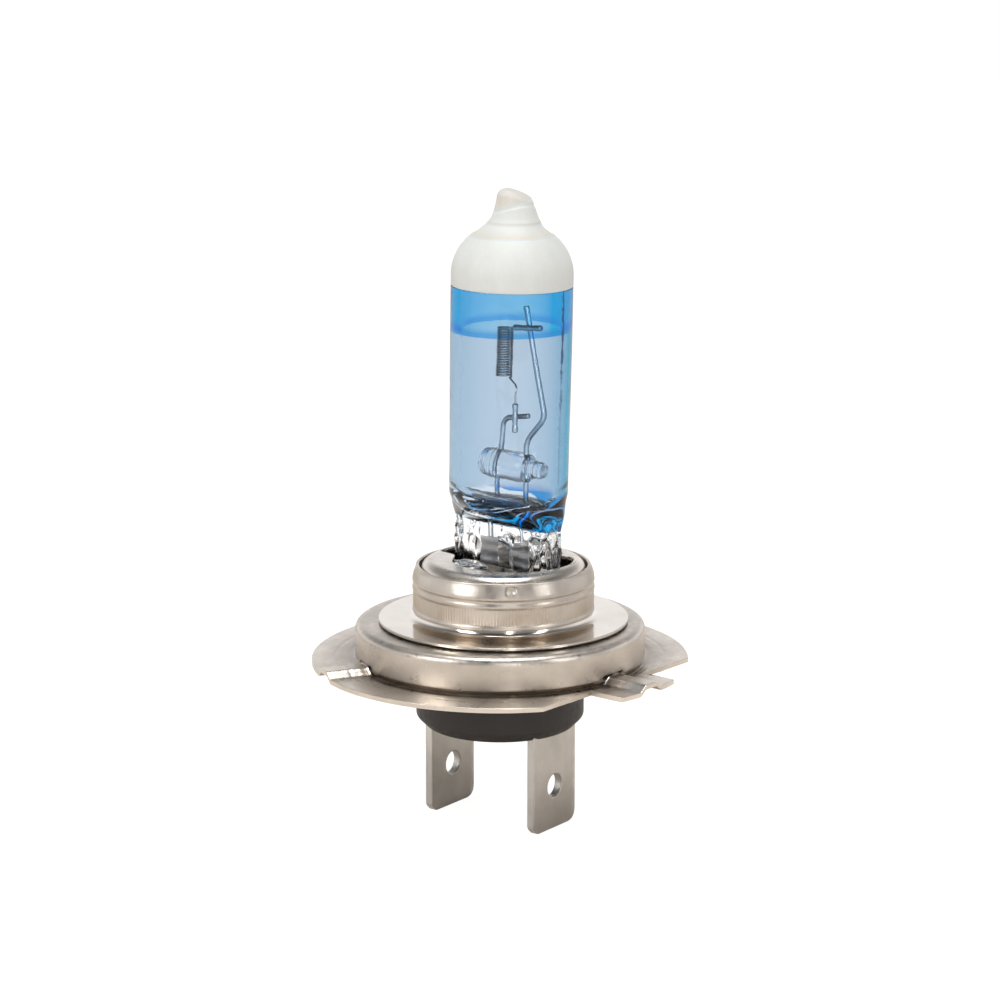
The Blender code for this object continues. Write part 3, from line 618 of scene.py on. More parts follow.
def new_material(name):
    """A material with its Principled shader, or None for the shader if it is already made."""
    made = bpy.data.materials.get(name)
    if made:
        return made, None
    material = bpy.data.materials.new(name)
    material.use_nodes = True
    return material, material.node_tree.nodes["Principled BSDF"]


def metal(name, base, grain=(900.0, 900.0, 900.0), rough=(0.22, 0.36), bump=0.12, blotch=0.10,
          stain=None, dust=0.2, wear=0.5, ring=None):
    """Plated sheet: base colour clouded a little, grained roughness, bright edges, dust."""
    material, shader = new_material(name)
    if shader is None:
        return material
    tree = material.node_tree
    colours = bpy.context.scene.bulb_colours
    shader.inputs["Metallic"].default_value = 1.0
    grained = use_group(tree, "sheet_grain", {"Density": grain, "Low": rough[0], "High": rough[1]})
    place = own_place(tree)
    cloud = cloudy(tree, place, 180.0, 6.0)
    dark = tuple(c * (1.0 - 2.2 * blotch) for c in base)
    tone = mixed(tree, ranged(tree, cloud, 0.35, 0.65), dark, base)
    speckled = mixed(tree, ranged(tree, grained["Value"], 0.0, 1.0, 0.0, blotch), tone,
                     tuple(min(1.0, c * 1.25) for c in base))
    if stain:
        speckled = use_group(tree, "heat_stain", {"Color": speckled, "Stain": colours.stain,
                                                  "Height": stain[0], "Spread": stain[1],
                                                  "Amount": stain[2]})["Color"]
    # Painted shade: darkens the colour towards the corner at the given radius.
    if ring:
        speckled = use_group(tree, "painted_crevice_shade", {"Color": speckled, "Radius": ring[0],
                                                  "Spread": ring[1], "Amount": ring[2]})["Color"]
    worn = use_group(tree, "edge_wear", {"Color": speckled, "Amount": wear,
                                         "Worn Color": tuple(min(1.0, c * 1.35) for c in base)})
    dusty = use_group(tree, "dust_and_smudges", {"Color": worn["Color"], "Amount": dust})
    tree.links.new(dusty["Color"], shader.inputs["Base Color"])
    rougher = arithmetic(tree, "MULTIPLY_ADD", dusty["Mask"], 0.3, grained["Level"])
    tree.links.new(rougher, shader.inputs["Roughness"])
    add_bump(tree, shader, grained["Value"], bump, 0.02 * MM)
    return material


def plated():
    return metal("plated_steel_satin", bpy.context.scene.bulb_colours.nickel,
                 grain=(1500.0, 1500.0, 1500.0), rough=(0.26, 0.42), bump=0.40, blotch=0.13, dust=0.10)


def bright_plated():
    return metal("plated_steel_bright", bpy.context.scene.bulb_colours.bright,
                 grain=(500.0, 500.0, 500.0), rough=(0.10, 0.17), bump=0.05, blotch=0.05, dust=0.15)


def black_plastic():
    material, shader = new_material("moulded_base_black")
    if shader is None:
        return material
    tree = material.node_tree
    base = bpy.context.scene.bulb_colours.black
    grained = use_group(tree, "sheet_grain", {"Density": (1600.0, 1600.0, 1600.0), "Low": 0.42,
                                              "High": 0.62})
    tone = mixed(tree, grained["Value"], tuple(c * 0.7 for c in base), tuple(c * 1.5 for c in base))
    worn = use_group(tree, "edge_wear", {"Color": tone, "Worn Color": (0.09, 0.08, 0.075),
                                         "Amount": 0.6})
    dusty = use_group(tree, "dust_and_smudges", {"Color": worn["Color"], "Amount": 0.5,
                                                 "Dust Color": (0.22, 0.20, 0.18)})
    tree.links.new(dusty["Color"], shader.inputs["Base Color"])
    tree.links.new(grained["Level"], shader.inputs["Roughness"])
    add_bump(tree, shader, grained["Value"], 0.4, 0.03 * MM)
    return material


def white_ceramic():
    material, shader = new_material("fired_white_coating")
    if shader is None:
        return material
    tree = material.node_tree
    base = bpy.context.scene.bulb_colours.white
    runs = use_group(tree, "sheet_grain", {"Density": (900.0, 900.0, 130.0), "Low": 0.45, "High": 0.62})
    fine = use_group(tree, "sheet_grain", {"Density": (2600.0, 2600.0, 2600.0)})
    tone = mixed(tree, runs["Value"], tuple(c * 0.955 for c in base), base)
    tone = mixed(tree, ranged(tree, fine["Value"], 0.0, 1.0, 0.0, 0.10), tone, (0.75, 0.75, 0.72))
    place = own_place(tree)
    z = height_of(tree, place)
    across = measured_along(tree, place, VIEW_RIGHT)
    facet = arithmetic(tree, "MULTIPLY_ADD", across, -0.34, z)
    # Painted crease shading on the tip: a bluish line at each crease and a warm painted shade band above it,
    # also along the facet.
    for height, start, full, end, crease_shade in ((z, 37.26, 37.36, 37.42, (0.86, 0.94, 0.99)),
                                           (z, 37.36, 37.46, 38.00, (0.97, 0.90, 0.82)),
                                           (z, 38.34, 38.40, 38.46, (0.84, 0.92, 0.98)),
                                           (z, 38.42, 38.50, 38.66, (0.94, 0.86, 0.80)),
                                           (facet, 39.60, 39.72, 39.80, (0.82, 0.91, 0.98)),
                                           (facet, 39.74, 39.90, 43.00, (0.96, 0.89, 0.83))):
        rising = ranged(tree, height, start * MM, full * MM)
        falling = ranged(tree, height, full * MM, end * MM, 1.0, 0.0)
        band = arithmetic(tree, "MULTIPLY", rising, falling)
        tone = mixed(tree, band, tone, mixed(tree, 1.0, tone, crease_shade, "MULTIPLY"))
    dusty = use_group(tree, "dust_and_smudges", {"Color": tone, "Amount": 0.25, "Density": 1500.0,
                                                 "Dust Color": (0.50, 0.47, 0.43)})
    tree.links.new(dusty["Color"], shader.inputs["Base Color"])
    tree.links.new(runs["Level"], shader.inputs["Roughness"])
    both = arithmetic(tree, "MULTIPLY_ADD", fine["Value"], 0.35, runs["Value"])
    add_bump(tree, shader, both, 0.22, 0.05 * MM)
    return material


def glass_shader(name):
    material, shader = new_material(name)
    if shader is not None:
        shader.inputs["Transmission Weight"].default_value = 1.0
        shader.inputs["IOR"].default_value = 1.46
        shader.inputs["Roughness"].default_value = 0.0
    return material, shader


def blue_glass():
    """Outer face of the glass: a thin blue filter, deep at its wavy foot and denser at its top."""
    material, shader = glass_shader("filter_blue_glass")
    if shader is None:
        return material
    tree = material.node_tree
    colours = bpy.context.scene.bulb_colours
    place = own_place(tree)
    z = height_of(tree, place)
    wave = cloudy(tree, place, 190.0, 2.0)
    across = measured_along(tree, place, VIEW_RIGHT)
    edge = arithmetic(tree, "MULTIPLY_ADD", across, 0.17, z)
    edge = arithmetic(tree, "MULTIPLY_ADD", ranged(tree, wave, 0.3, 0.7, -1.0, 1.0), 0.30 * MM, edge)
    depth = measured_along(tree, place, VIEW_FRONT)
    bare_back = ranged(tree, depth, 1 * MM, -2.5 * MM, 0.0, -0.95 * MM)
    bare = ranged(tree, arithmetic(tree, "ADD", edge, bare_back), 12.38 * MM, 12.48 * MM)
    foot = mixed(tree, bare, (0.97, 0.98, 0.99), colours.deep_blue)
    facing = add_node(tree, "ShaderNodeLayerWeight", {"Blend": 0.5}).outputs["Facing"]
    # The sides deepen more towards the right of the view.
    deeper_to_right = ranged(tree, across, -6 * MM, 5 * MM, 0.40, 1.15)
    sides = arithmetic(tree, "MULTIPLY", deeper_to_right, ranged(tree, facing, 0.02, 0.75))
    pale = mixed(tree, sides, colours.pale_blue,
                 mixed(tree, 1.0, colours.pale_blue, (0.0, 0.42, 0.64), "MULTIPLY"))
    body = mixed(tree, ranged(tree, z, 13.3 * MM, 14.0 * MM), foot, pale)
    even = arithmetic(tree, "MULTIPLY_ADD", wave, 0.10 * MM, z)
    rim = mixed(tree, ranged(tree, even, 29.45 * MM, 29.95 * MM), colours.rim_blue, colours.dense_blue)
    rim_sides = arithmetic(tree, "MINIMUM", arithmetic(tree, "MULTIPLY", sides, 2.8), 1.0)
    rim = mixed(tree, rim_sides, rim, mixed(tree, 1.0, rim, (0.0, 0.62, 0.88), "MULTIPLY"))
    tone = mixed(tree, ranged(tree, even, 29.06 * MM, 29.12 * MM), body, rim)
    tree.links.new(tone, shader.inputs["Base Color"])
    swirl = cloudy(tree, place, 90.0, 1.0)
    add_bump(tree, shader, swirl, 0.10, 0.2 * MM)
    return material


def clear_glass():
    """Bare quartz: colourless, with slight flow lines from pressing."""
    material, shader = glass_shader("clear_quartz")
    if shader is None:
        return material
    tree = material.node_tree
    flow = use_group(tree, "sheet_grain", {"Density": (160.0, 160.0, 110.0)})
    shader.inputs["Base Color"].default_value = (0.985, 0.99, 0.995, 1.0)
    add_bump(tree, shader, flow["Value"], 0.10, 0.25 * MM)
    return material


# Sheet-metal pieces

def averaged(function, value, reach):
    """The mean of a function about a value, which rounds its corners."""
    return sum(function(value + reach * k / 3) for k in range(-3, 4)) / 7


class BULB_OT_flange(Operator):
    """Add the pressed flange plate with its beads, index tab and collar"""
    bl_idname = "bulb.flange"
    bl_label = "Flange"

    def execute(self, context):
        size = context.scene.bulb_flange
        bend = size.collar_outer + size.collar_bend
        low = size.plate_top - size.plate_sheet
        corners = [(size.collar_inner, size.collar_top), (size.collar_outer, size.collar_top),
                   (size.collar_outer, size.plate_top), (size.radius, size.plate_top),
                   (size.radius, low), (size.collar_inner, low)]
        reach = (0.05 * MM, 0.05 * MM, size.collar_bend, 0.07 * MM, 0.04 * MM, 0.9 * MM)
        profile = spread(soften(corners, reach, 5, closed=True), 0.14 * MM, closed=True)
        chord = math.acos(size.chord / size.radius)

        def edge(angle):
            angle = abs(math.remainder(angle, 2 * math.pi))
            if math.sin(angle) * size.tab_radius < size.tab_half and angle < 1.0:
                return size.tab_radius
            if angle > chord:
                return size.radius
            return max(size.chord / math.cos(angle),
                       min(size.tab_radius, size.tab_half / math.sin(angle)))

        def rise(offset):
            share_up = (size.bead_foot - abs(offset)) / (size.bead_foot - size.bead_top)
            return clamped(share_up)

        def shape(azimuth, offset, r, z):
            limit = edge(azimuth + math.asin(offset / size.radius))
            if r > bend:
                r = bend + (r - bend) * (limit - bend) / (size.radius - bend)
            if on_bead(azimuth) and z < 0.0:
                ramp = clamped((r - 12.75 * MM) / (0.30 * MM))
                z += -size.plate_top * averaged(rise, offset, 0.11 * MM) * ramp * ramp * (3 - 2 * ramp)
            z -= 0.030 * MM * math.exp(-((r - 14.8 * MM) / (0.13 * MM)) ** 2)
            z -= 0.045 * MM * clamped((13.75 * MM - r) / (0.22 * MM)) * (r > bend)
            return r, min(z, 1.6 * MM)

        builder = columns_mesh(bead_columns(), profile, shape)
        ripple(builder, 0.035 * MM, 210.0, 3.0)
        add_piece("flange_plate", "index_flange", builder, [flange_metal()])
        return {"FINISHED"}


def flange_metal():
    base = tuple(c * 1.17 for c in bpy.context.scene.bulb_colours.nickel)
    # Painted shade darkens the plate next to the drum.
    return metal("plated_steel_flange", base,
                 grain=(700.0, 700.0, 700.0), rough=(0.24, 0.36), bump=0.20, blotch=0.09, dust=0.3,
                 ring=(13.0 * MM, 3.4 * MM, 0.72))


class BULB_OT_drum(Operator):
    """Add the drum that stands on the flange, notched over the beads"""
    bl_idname = "bulb.drum"
    bl_label = "Drum"

    def execute(self, context):
        size = context.scene.bulb_cap
        inner = size.drum_radius - 0.30 * MM
        top, low = size.drum_top, size.drum_bottom
        corners = [(inner, low), (size.drum_radius, low), (size.drum_radius, top),
                   (size.drum_hole, top), (size.drum_hole, top - 0.30 * MM), (inner, top - 0.30 * MM)]
        reach = (0.05 * MM, 0.12 * MM, size.drum_shoulder, 0.06 * MM, 0.06 * MM, 0.5 * MM)
        profile = spread(soften(corners, reach, 7, closed=True), 0.16 * MM, closed=True)

        def notch(offset):
            return clamped((1.52 * MM - abs(offset)) / (0.22 * MM))

        def shape(azimuth, offset, r, z):
            if on_bead(azimuth) and z < 1.0 * MM:
                lift = 0.39 * MM * averaged(notch, offset, 0.08 * MM)
                z += lift * (1.0 * MM - z) / (1.0 * MM - low)
            return r, z

        builder = columns_mesh(bead_columns(), profile, shape)
        ripple(builder, 0.022 * MM, 330.0, 8.0)
        add_piece("drum_ring", "reference_drum", builder, [plated()])
        return {"FINISHED"}


class BULB_OT_disc(Operator):
    """Add the polished focusing disc with its neck"""
    bl_idname = "bulb.disc"
    bl_label = "Focusing disc"

    def execute(self, context):
        size = context.scene.bulb_cap
        low = size.disc_top - 0.27 * MM
        corners = [(size.disc_radius, low), (size.disc_radius, size.disc_top),
                   (7.80 * MM, size.disc_top), (7.80 * MM, 5.55 * MM), (7.50 * MM, 5.55 * MM),
                   (7.50 * MM, low)]
        reach = (0.05 * MM, 0.07 * MM, 0.75 * MM, 0.05 * MM, 0.05 * MM, 1.0 * MM)
        profile = spread(soften(corners, reach, 6, closed=True), 0.2 * MM, closed=True)
        builder = turned(profile, 240)
        ripple(builder, 0.030 * MM, 170.0, 5.0)
        add_piece("focusing_disc", "focus_disc", builder, [bright_plated()],
                  cap_axis())
        return {"FINISHED"}


class BULB_OT_sleeve(Operator):
    """Add the stepped sleeve with its weld dimples"""
    bl_idname = "bulb.sleeve"
    bl_label = "Sleeve"

    def execute(self, context):
        size = context.scene.bulb_cap
        low, rim = 3.80 * MM, 7.95 * MM
        lower, upper = size.sleeve_lower / MM, size.sleeve_upper / MM
        face = ((lower, 3.80), (lower - 0.01, 4.02), (lower - 0.08, 4.20), (lower - 0.06, 5.62),
                (lower, 5.86), (lower - 0.01, 6.02), (lower - 0.07, 6.18), (lower - 0.08, 6.36),
                (lower, 6.58), (lower - 0.03, 6.80), (upper + 0.20, 7.20), (upper + 0.04, 7.70),
                (upper, 7.95))
        back = ((upper - 0.30, 7.95), (upper - 0.30, 7.10), (lower - 0.40, 6.40), (lower - 0.40, 3.80))
        corners = [(r * MM, z * MM) for r, z in face + back]
        reach = (0.09 * MM,) * 12 + (0.10 * MM, 0.08 * MM, 0.2 * MM, 0.2 * MM, 0.05 * MM)
        profile = spread(soften(corners, reach, 5, closed=True), 0.09 * MM, closed=True)
        welds = [turn * DEG for turn in (-45.0, 45.0, 135.0, 225.0)]
        angles = [i * 0.4 * DEG for i in range(900)]
        angles += [weld + k * 0.3125 * DEG for weld in welds for k in range(-20, 21)]
        angles = sorted({round(math.remainder(a, 2 * math.pi), 5) for a in angles})

        def shape(azimuth, offset, r, z):
            if 4.25 * MM < z < 5.65 * MM and r > size.sleeve_lower - 0.2 * MM:
                r += 0.018 * MM * math.sin(azimuth * 180) * (1 + noise.noise((azimuth * 9.0, 0.0, 0.0)))
            for weld in welds:
                across = math.remainder(azimuth - weld, 2 * math.pi) * r
                away = math.hypot(across, z - 7.25 * MM) / MM
                if away < 1.2 and r > size.sleeve_upper - 0.14 * MM:
                    r -= 0.13 * MM * math.exp(-(away / 0.22) ** 2)
                    r += 0.05 * MM * math.exp(-((away - 0.40) / 0.11) ** 2)
            return min(r, size.sleeve_lower), z

        builder = columns_mesh([(angle, 0.0) for angle in angles], profile, shape)
        ripple(builder, 0.02 * MM, 300.0, 11.0)
        material = metal("plated_steel_sleeve", context.scene.bulb_colours.nickel,
                         grain=(1700.0, 1700.0, 420.0), rough=(0.27, 0.41), bump=0.20, blotch=0.11,
                         stain=(4.9 * MM, 1.4 * MM, 0.30), dust=0.15)
        add_piece("clamping_sleeve", "cap_sleeve", builder, [material], cap_axis())
        return {"FINISHED"}


class BULB_OT_cover(Operator):
    """Add the domed cover with its opening round the glass"""
    bl_idname = "bulb.cover"
    bl_label = "Cover"

    def execute(self, context):
        size = context.scene.bulb_cap
        sheet, top = 0.30 * MM, size.cover_top
        opening = spread(soften([(x * MM, y * MM) for x, y in COVER_OPENING], 0.45 * MM, 6, True),
                         0.16 * MM, True)
        nominal = 6.5 * MM
        corners = [(size.cover_radius - sheet, 1.10 * MM), (size.cover_radius, 1.10 * MM),
                   (size.cover_radius, top), (nominal, top), (nominal, top - sheet),
                   (size.cover_radius - sheet, top - sheet)]
        reach = (0.05 * MM, 0.05 * MM, 0.0, 0.0, 0.0, 0.0)
        low = soften(corners, reach, 3, closed=True)[:8]
        centre = (size.cover_radius - 1.10 * MM, top - 1.10 * MM)
        outside = arc(centre, 1.10 * MM, 0, 90, 10)
        inside = arc(centre, 0.80 * MM, 90, 0, 8)
        rows = 10

        columns = []
        for x, y in opening:
            reach_in = math.hypot(x, y)
            angle = math.atan2(y, x)
            line = [tuple(point) for point in low] + outside
            line += [(centre[0] + (reach_in - centre[0]) * k / rows, top) for k in range(1, rows)]
            line += [(reach_in + 0.05 * MM, top), (reach_in + 0.012 * MM, top - 0.035 * MM),
                     (reach_in, top - 0.07 * MM), (reach_in, top - sheet)]
            line += [(reach_in + (centre[0] - reach_in) * k / rows, top - sheet) for k in range(1, rows)]
            line += inside
            columns.append([(r * math.cos(angle), r * math.sin(angle), z) for r, z in line])
        builder = stack(columns, closed=True)
        ripple(builder, 0.03 * MM, 200.0, 14.0)
        material = metal("plated_steel_cover", context.scene.bulb_colours.bright,
                         grain=(600.0, 600.0, 600.0), rough=(0.20, 0.32), bump=0.15, blotch=0.06,
                         stain=(7.6 * MM, 0.9 * MM, 0.30), dust=0.2)
        add_piece("top_cover", "cap_cover", builder, [material], cap_axis())
        return {"FINISHED"}


def rounded_rectangle(half_x, half_y, radius, steps):
    outline = []
    for quarter, (side_x, side_y) in enumerate(((1, 1), (-1, 1), (-1, -1), (1, -1))):
        centre = (side_x * (half_x - radius), side_y * (half_y - radius))
        outline += arc(centre, radius, 90 * quarter, 90 * quarter + 90, steps)
    return outline


def clip_shelf(side, half_y):
    """Flat shoulder of the clip that lies under the cover."""
    section = soften([(half_y + 0.02 * MM, 7.30 * MM), (4.40 * MM, 7.30 * MM), (4.40 * MM, 7.05 * MM),
                      (half_y + 0.02 * MM, 7.05 * MM)], 0.08 * MM, 3, closed=True)
    rings = [[(x, side * p.x, p.y) for p in section]
             for x in (k * 0.4 * MM for k in range(-8, 9))]
    return capped(rings)


class BULB_OT_clip(Operator):
    """Add the spring clip that grips the glass pinch"""
    bl_idname = "bulb.clip"
    bl_label = "Spring clip"

    def execute(self, context):
        glass = context.scene.bulb_glass
        sheet, gap = 0.25 * MM, 0.12 * MM
        half_x, half_y = glass.pinch_half + gap, glass.pinch_thick + gap
        low, high = 4.70 * MM, 7.20 * MM
        outer = rounded_rectangle(half_x + sheet, half_y + sheet, 0.6 * MM, 6)
        inner = rounded_rectangle(half_x, half_y, 0.35 * MM, 6)
        rings = [[(x, y, z) for x, y in outline] for outline, z in
                 ((outer, low), (outer, high), (inner, high), (inner, low))]
        builder = stack(rings, closed=True)
        for side, top, flare in ((-1, 8.00 * MM, 0.15 * MM), (1, 10.20 * MM, 1.10 * MM)):
            rings = []
            for step in range(17):
                z = low + 0.5 * MM + (top - low - 0.5 * MM) * step / 16
                rise = max(0.0, (z - high) / (top - high))
                y = half_y + 0.02 * MM + flare * rise ** 2
                half = 2.60 * MM - 0.5 * MM * max(0.0, rise - 0.7) ** 2 / 0.09
                rings.append([(x, side * depth, z) for x, depth in
                              ((-half, y), (half, y), (half, y + sheet), (-half, y + sheet))])
            builder = merged(builder, capped(rings))
            builder = merged(builder, clip_shelf(side, half_y))
        add_piece("spring_clip", "pinch_clip", builder, [bright_plated()],
                  capsule_axis(), flats=True)
        return {"FINISHED"}


# Base and blades

def blade_outline(size):
    """Blade outline in its own plane as (across, height), from the bottom middle round."""
    half, shoulder, neck, neck_top = size.width / 2, -2.60 * MM, 1.50 * MM, 1.00 * MM
    corners = [(half, size.bottom), (half, shoulder), (neck, shoulder), (neck, neck_top),
               (-neck, neck_top), (-neck, shoulder), (-half, shoulder), (-half, size.bottom)]
    reach = (1.15 * MM, 0.2 * MM, 0.2 * MM, 0.1 * MM, 0.1 * MM, 0.2 * MM, 0.2 * MM, 0.0)
    path = soften(corners, reach, 8, closed=True)
    chamfer = [Vector((-half, size.bottom + 0.60 * MM)), Vector((-half + 0.60 * MM, size.bottom))]
    last = soften([path[-2], *chamfer, (half - 2 * MM, size.bottom)], 0.22 * MM, 4)[1:-1]
    return path[:-1] + last


def blade_place(size, side):
    return Matrix.Rotation(size.turn, 4, "Z") @ Matrix.Translation((side * size.spacing / 2, 0.0, 0.0))


def blade_mesh(size):
    """Punched blade: two faces split through the hole, with rounded edges all round."""
    outline = blade_outline(size)
    hole = [Vector((size.hole_radius * math.sin(a), size.hole_height - size.hole_radius * math.cos(a)))
            for a in (2 * math.pi * k / 48 for k in range(48))]
    bottom, top = Vector((0.0, size.bottom)), Vector((0.0, 1.00 * MM))
    right = [p for p in outline if p.x > 0]
    left = [p for p in outline if p.x < 0]
    loop = [bottom, *right, top, *left]
    builder = bmesh.new()
    half = size.thickness / 2
    sides = []
    for depth in (-half, half):
        sides.append(([builder.verts.new((depth, p.x, p.y)) for p in loop],
                      [builder.verts.new((depth, p.x, p.y)) for p in hole]))
    middle = len(right) + 1
    for rim, bore in sides:
        builder.faces.new(rim[:middle + 1] + bore[24::-1])
        builder.faces.new(rim[middle:] + rim[:1] + bore[:1] + bore[:23:-1])
    caps = set(builder.faces)
    for first, second in zip(*sides):
        count = len(first)
        for i in range(count):
            j = (i + 1) % count
            builder.faces.new((first[i], first[j], second[j], second[i]))
    bmesh.ops.recalc_face_normals(builder, faces=builder.faces)
    rims = [edge for edge in builder.edges if len({face in caps for face in edge.link_faces}) == 2]
    for face in builder.faces:
        face.material_index = 0 if face in caps else 1
    bmesh.ops.bevel(builder, geom=rims, offset=size.edge, segments=3, profile=0.5, affect="EDGES",
                    material=0)
    return builder


class BULB_OT_blades(Operator):
    """Add the two punched terminal blades"""
    bl_idname = "bulb.blades"
    bl_label = "Terminal blades"

    def execute(self, context):
        size = context.scene.bulb_terminals
        material = metal("terminal_plate", context.scene.bulb_colours.blade,
                         grain=(900.0, 900.0, 150.0), rough=(0.30, 0.44), bump=0.22, blotch=0.10, dust=0.5,
                         wear=0.8)
        sheared = metal("sheared_edge", (0.74, 0.72, 0.69), grain=(2600.0, 2600.0, 420.0),
                        rough=(0.38, 0.60), bump=0.7, blotch=0.14, dust=0.3, wear=0.3)
        for name, side in (("left", -1), ("right", 1)):
            place = blade_place(size, side)
            add_piece(f"blade_{name}", f"terminal_{name}", blade_mesh(size),
                      [material, sheared], place, flats=True)
        return {"FINISHED"}


class BULB_OT_base(Operator):
    """Add the moulded base with slots for the blades"""
    bl_idname = "bulb.base"
    bl_label = "Moulded base"

    def execute(self, context):
        size = context.scene.bulb_terminals
        wide, low = size.base_radius, size.base_bottom
        corners = [(0.0, low), (wide - 0.90 * MM, low), (wide, low + 0.90 * MM), (wide, 0.60 * MM),
                   (6.70 * MM, 0.60 * MM), (6.70 * MM, 4.00 * MM), (5.90 * MM, 4.00 * MM),
                   (5.90 * MM, -1.60 * MM), (0.0, -1.60 * MM)]
        reach = (0.0, 0.22 * MM, 0.22 * MM, 0.1 * MM, 0.1 * MM, 0.1 * MM, 0.1 * MM, 0.3 * MM, 0.0)
        builder = turned([tuple(p) for p in soften(corners, reach, 4)], 144, closed=False)
        piece = add_piece("moulded_base", "insulator_base", builder,
                          [black_plastic()], flats=True)
        gap = 0.06 * MM
        half, across = size.thickness / 2 + gap, size.width / 2 + gap
        for side in (-1, 1):
            place = blade_place(size, side)
            slot = [[place @ Vector((depth, y, z)) for depth, y in
                     ((-half, -across), (half, -across), (half, across), (-half, across))]
                    for z in (low - 1 * MM, -2.54 * MM)]
            carve(piece, capped(slot))
        return {"FINISHED"}


def carve(piece, builder):
    """Cut a tool's shape out of a piece for good."""
    mesh = bpy.data.meshes.new("carving_tool")
    builder.to_mesh(mesh)
    builder.free()
    tool = bpy.data.objects.new("carving_tool", mesh)
    bpy.context.scene.collection.objects.link(tool)
    cutting = piece.modifiers.new("carve", "BOOLEAN")
    cutting.operation, cutting.solver, cutting.object = "DIFFERENCE", "EXACT", tool
    piece.modifiers.move(len(piece.modifiers) - 1, 0)
    with bpy.context.temp_override(object=piece, active_object=piece, selected_objects=[piece]):
        bpy.ops.object.modifier_apply(modifier=cutting.name)
    bpy.data.objects.remove(tool, do_unlink=True)
    bpy.data.meshes.remove(mesh)


# Glass

def ease(value):
    value = clamped(value)
    return value * value * (3 - 2 * value)


def glass_section(z, half_x, half_y, squareness):
    """A closed section between an ellipse (squareness 2) and a rounded rectangle."""
    section = []
    for i in range(SECTION_STEPS):
        angle = 2 * math.pi * i / SECTION_STEPS
        x = math.copysign(abs(math.cos(angle)) ** (2 / squareness), math.cos(angle))
        y = math.copysign(abs(math.sin(angle)) ** (2 / squareness), math.sin(angle))
        section.append((half_x * x, half_y * y, z))
    return section


def dome_profile(size, inset, steps=24):
    """Dome and sealed tip as (radius, height), drawn in by `inset` all over."""
    base, rise, shoulder = 33.90 * MM, 4.74 * MM, 3.62 * MM
    stop = math.degrees(math.acos(shoulder / size.radius))
    dome = [(r, base + (z - base) * (rise - inset) / (size.radius - inset))
            for r, z in arc((0.0, base), size.radius - inset, 0, stop, steps)]
    corners = ((3.40, 37.50), (2.92, 37.82), (2.46, 38.28), (2.36, 38.42), (2.31, 38.50), (2.25, 38.62),
               (2.06, 38.90), (1.84, 39.50), (1.66, 40.25), (1.58, 40.90), (1.36, 41.26), (0.85, 41.40))
    tip = [dome[-1]] + [(r * MM - inset, z * MM - inset) for r, z in corners]
    tip.append((0.0, size.tip_top - inset))
    tip = spread(soften(tip, 0.12 * MM, 4), 0.08 * MM)[1:]
    return dome + [tuple(point) for point in tip]


def foot_lip():
    """The ragged lip of glass squeezed out at the front of the seal, just above the cover."""
    rings = []
    for step in range(33):
        part = step / 32
        half = math.sin(math.pi * part) ** 0.45
        x = -4.1 + 4.3 * part
        rings.append([((x + 0.05 * math.cos(a)) * MM, (-2.75 - 0.75 * half * math.cos(a)) * MM,
                       (7.98 + 0.34 * half * math.sin(a)) * MM)
                      for a in (2 * math.pi * k / 20 for k in range(20))])
    builder = capped(rings)
    for vert in builder.verts:
        vert.co += 0.16 * MM * scattered(vert.co * 1100.0)
    return builder


def outer_glass(size):
    foot, coated = 5.28 * MM, size.coating_edge - 0.05 * MM
    low, pinch_top, bulb = 4.45 * MM, 11.30 * MM, 14.70 * MM
    rings = []
    for step in range(29):
        z = low + (pinch_top - low) * step / 28
        draw = 0.10 * MM * max(0.0, 1 - step / 2) ** 2
        rings.append(glass_section(z, size.pinch_half - draw, size.pinch_thick - draw, 5))
    for step in range(1, 25):
        part = ease(step / 24)
        z = pinch_top + (bulb - pinch_top) * step / 24
        rings.append(glass_section(z, size.pinch_half + (foot - size.pinch_half) * part,
                                   size.pinch_thick + (foot - size.pinch_thick) * part,
                                   2 + 3 * (1 - part) ** 2))
    for step in range(1, 37):
        z = bulb + (coated - bulb) * step / 36
        r = foot + (size.radius - foot) * ease((z - bulb) / (15 * MM))
        rings.append(glass_section(z, r, r, 2))
    inset = 0.15 * MM
    for r, z in [(size.radius - inset, coated)] + dome_profile(size, inset)[:-1]:
        rings.append(glass_section(z, r, r, 2))
    rings.append([(0.0, 0.0, size.tip_top - inset)])
    builder = stack(rings)
    builder.verts.ensure_lookup_table()
    builder.faces.new(builder.verts[:SECTION_STEPS])
    slant_tip(builder)
    for vert in builder.verts:
        if vert.co.z < 14.2 * MM:
            press_marks(vert, size)
    bmesh.ops.recalc_face_normals(builder, faces=builder.faces)
    return builder


def press_marks(vert, size):
    """Ribs and hollows that the pressing jaws leave in the flat seal."""
    x, z = vert.co.x / MM, vert.co.z / MM
    flat = ease((12.3 - z) / 1.1)
    level = 0.0
    for middle, width, amount in ((-4.3, 0.30, 0.30), (-2.9, 0.22, -0.22), (-1.36, 0.34, 0.42),
                                  (0.3, 0.50, -0.22), (1.96, 0.36, 0.45), (3.3, 0.24, -0.24),
                                  (4.4, 0.30, 0.34)):
        level += amount * math.exp(-((x - middle) / width) ** 2)
    level += 0.20 * math.exp(-((z - 10.7) / 0.30) ** 2) - 0.16 * math.exp(-((z - 9.7) / 0.40) ** 2)
    level += 0.22 * noise.noise(vert.co * 650.0) + 0.10 * noise.noise(vert.co * 1700.0)
    inside = 1.0 if abs(vert.co.y) > 0.3 * MM else abs(vert.co.y) / (0.3 * MM)
    vert.co.y += math.copysign(level * flat * inside * MM, vert.co.y)
    vert.co.x += 0.14 * noise.noise(vert.co * 900.0) * flat * MM * (abs(x) > 4.0)


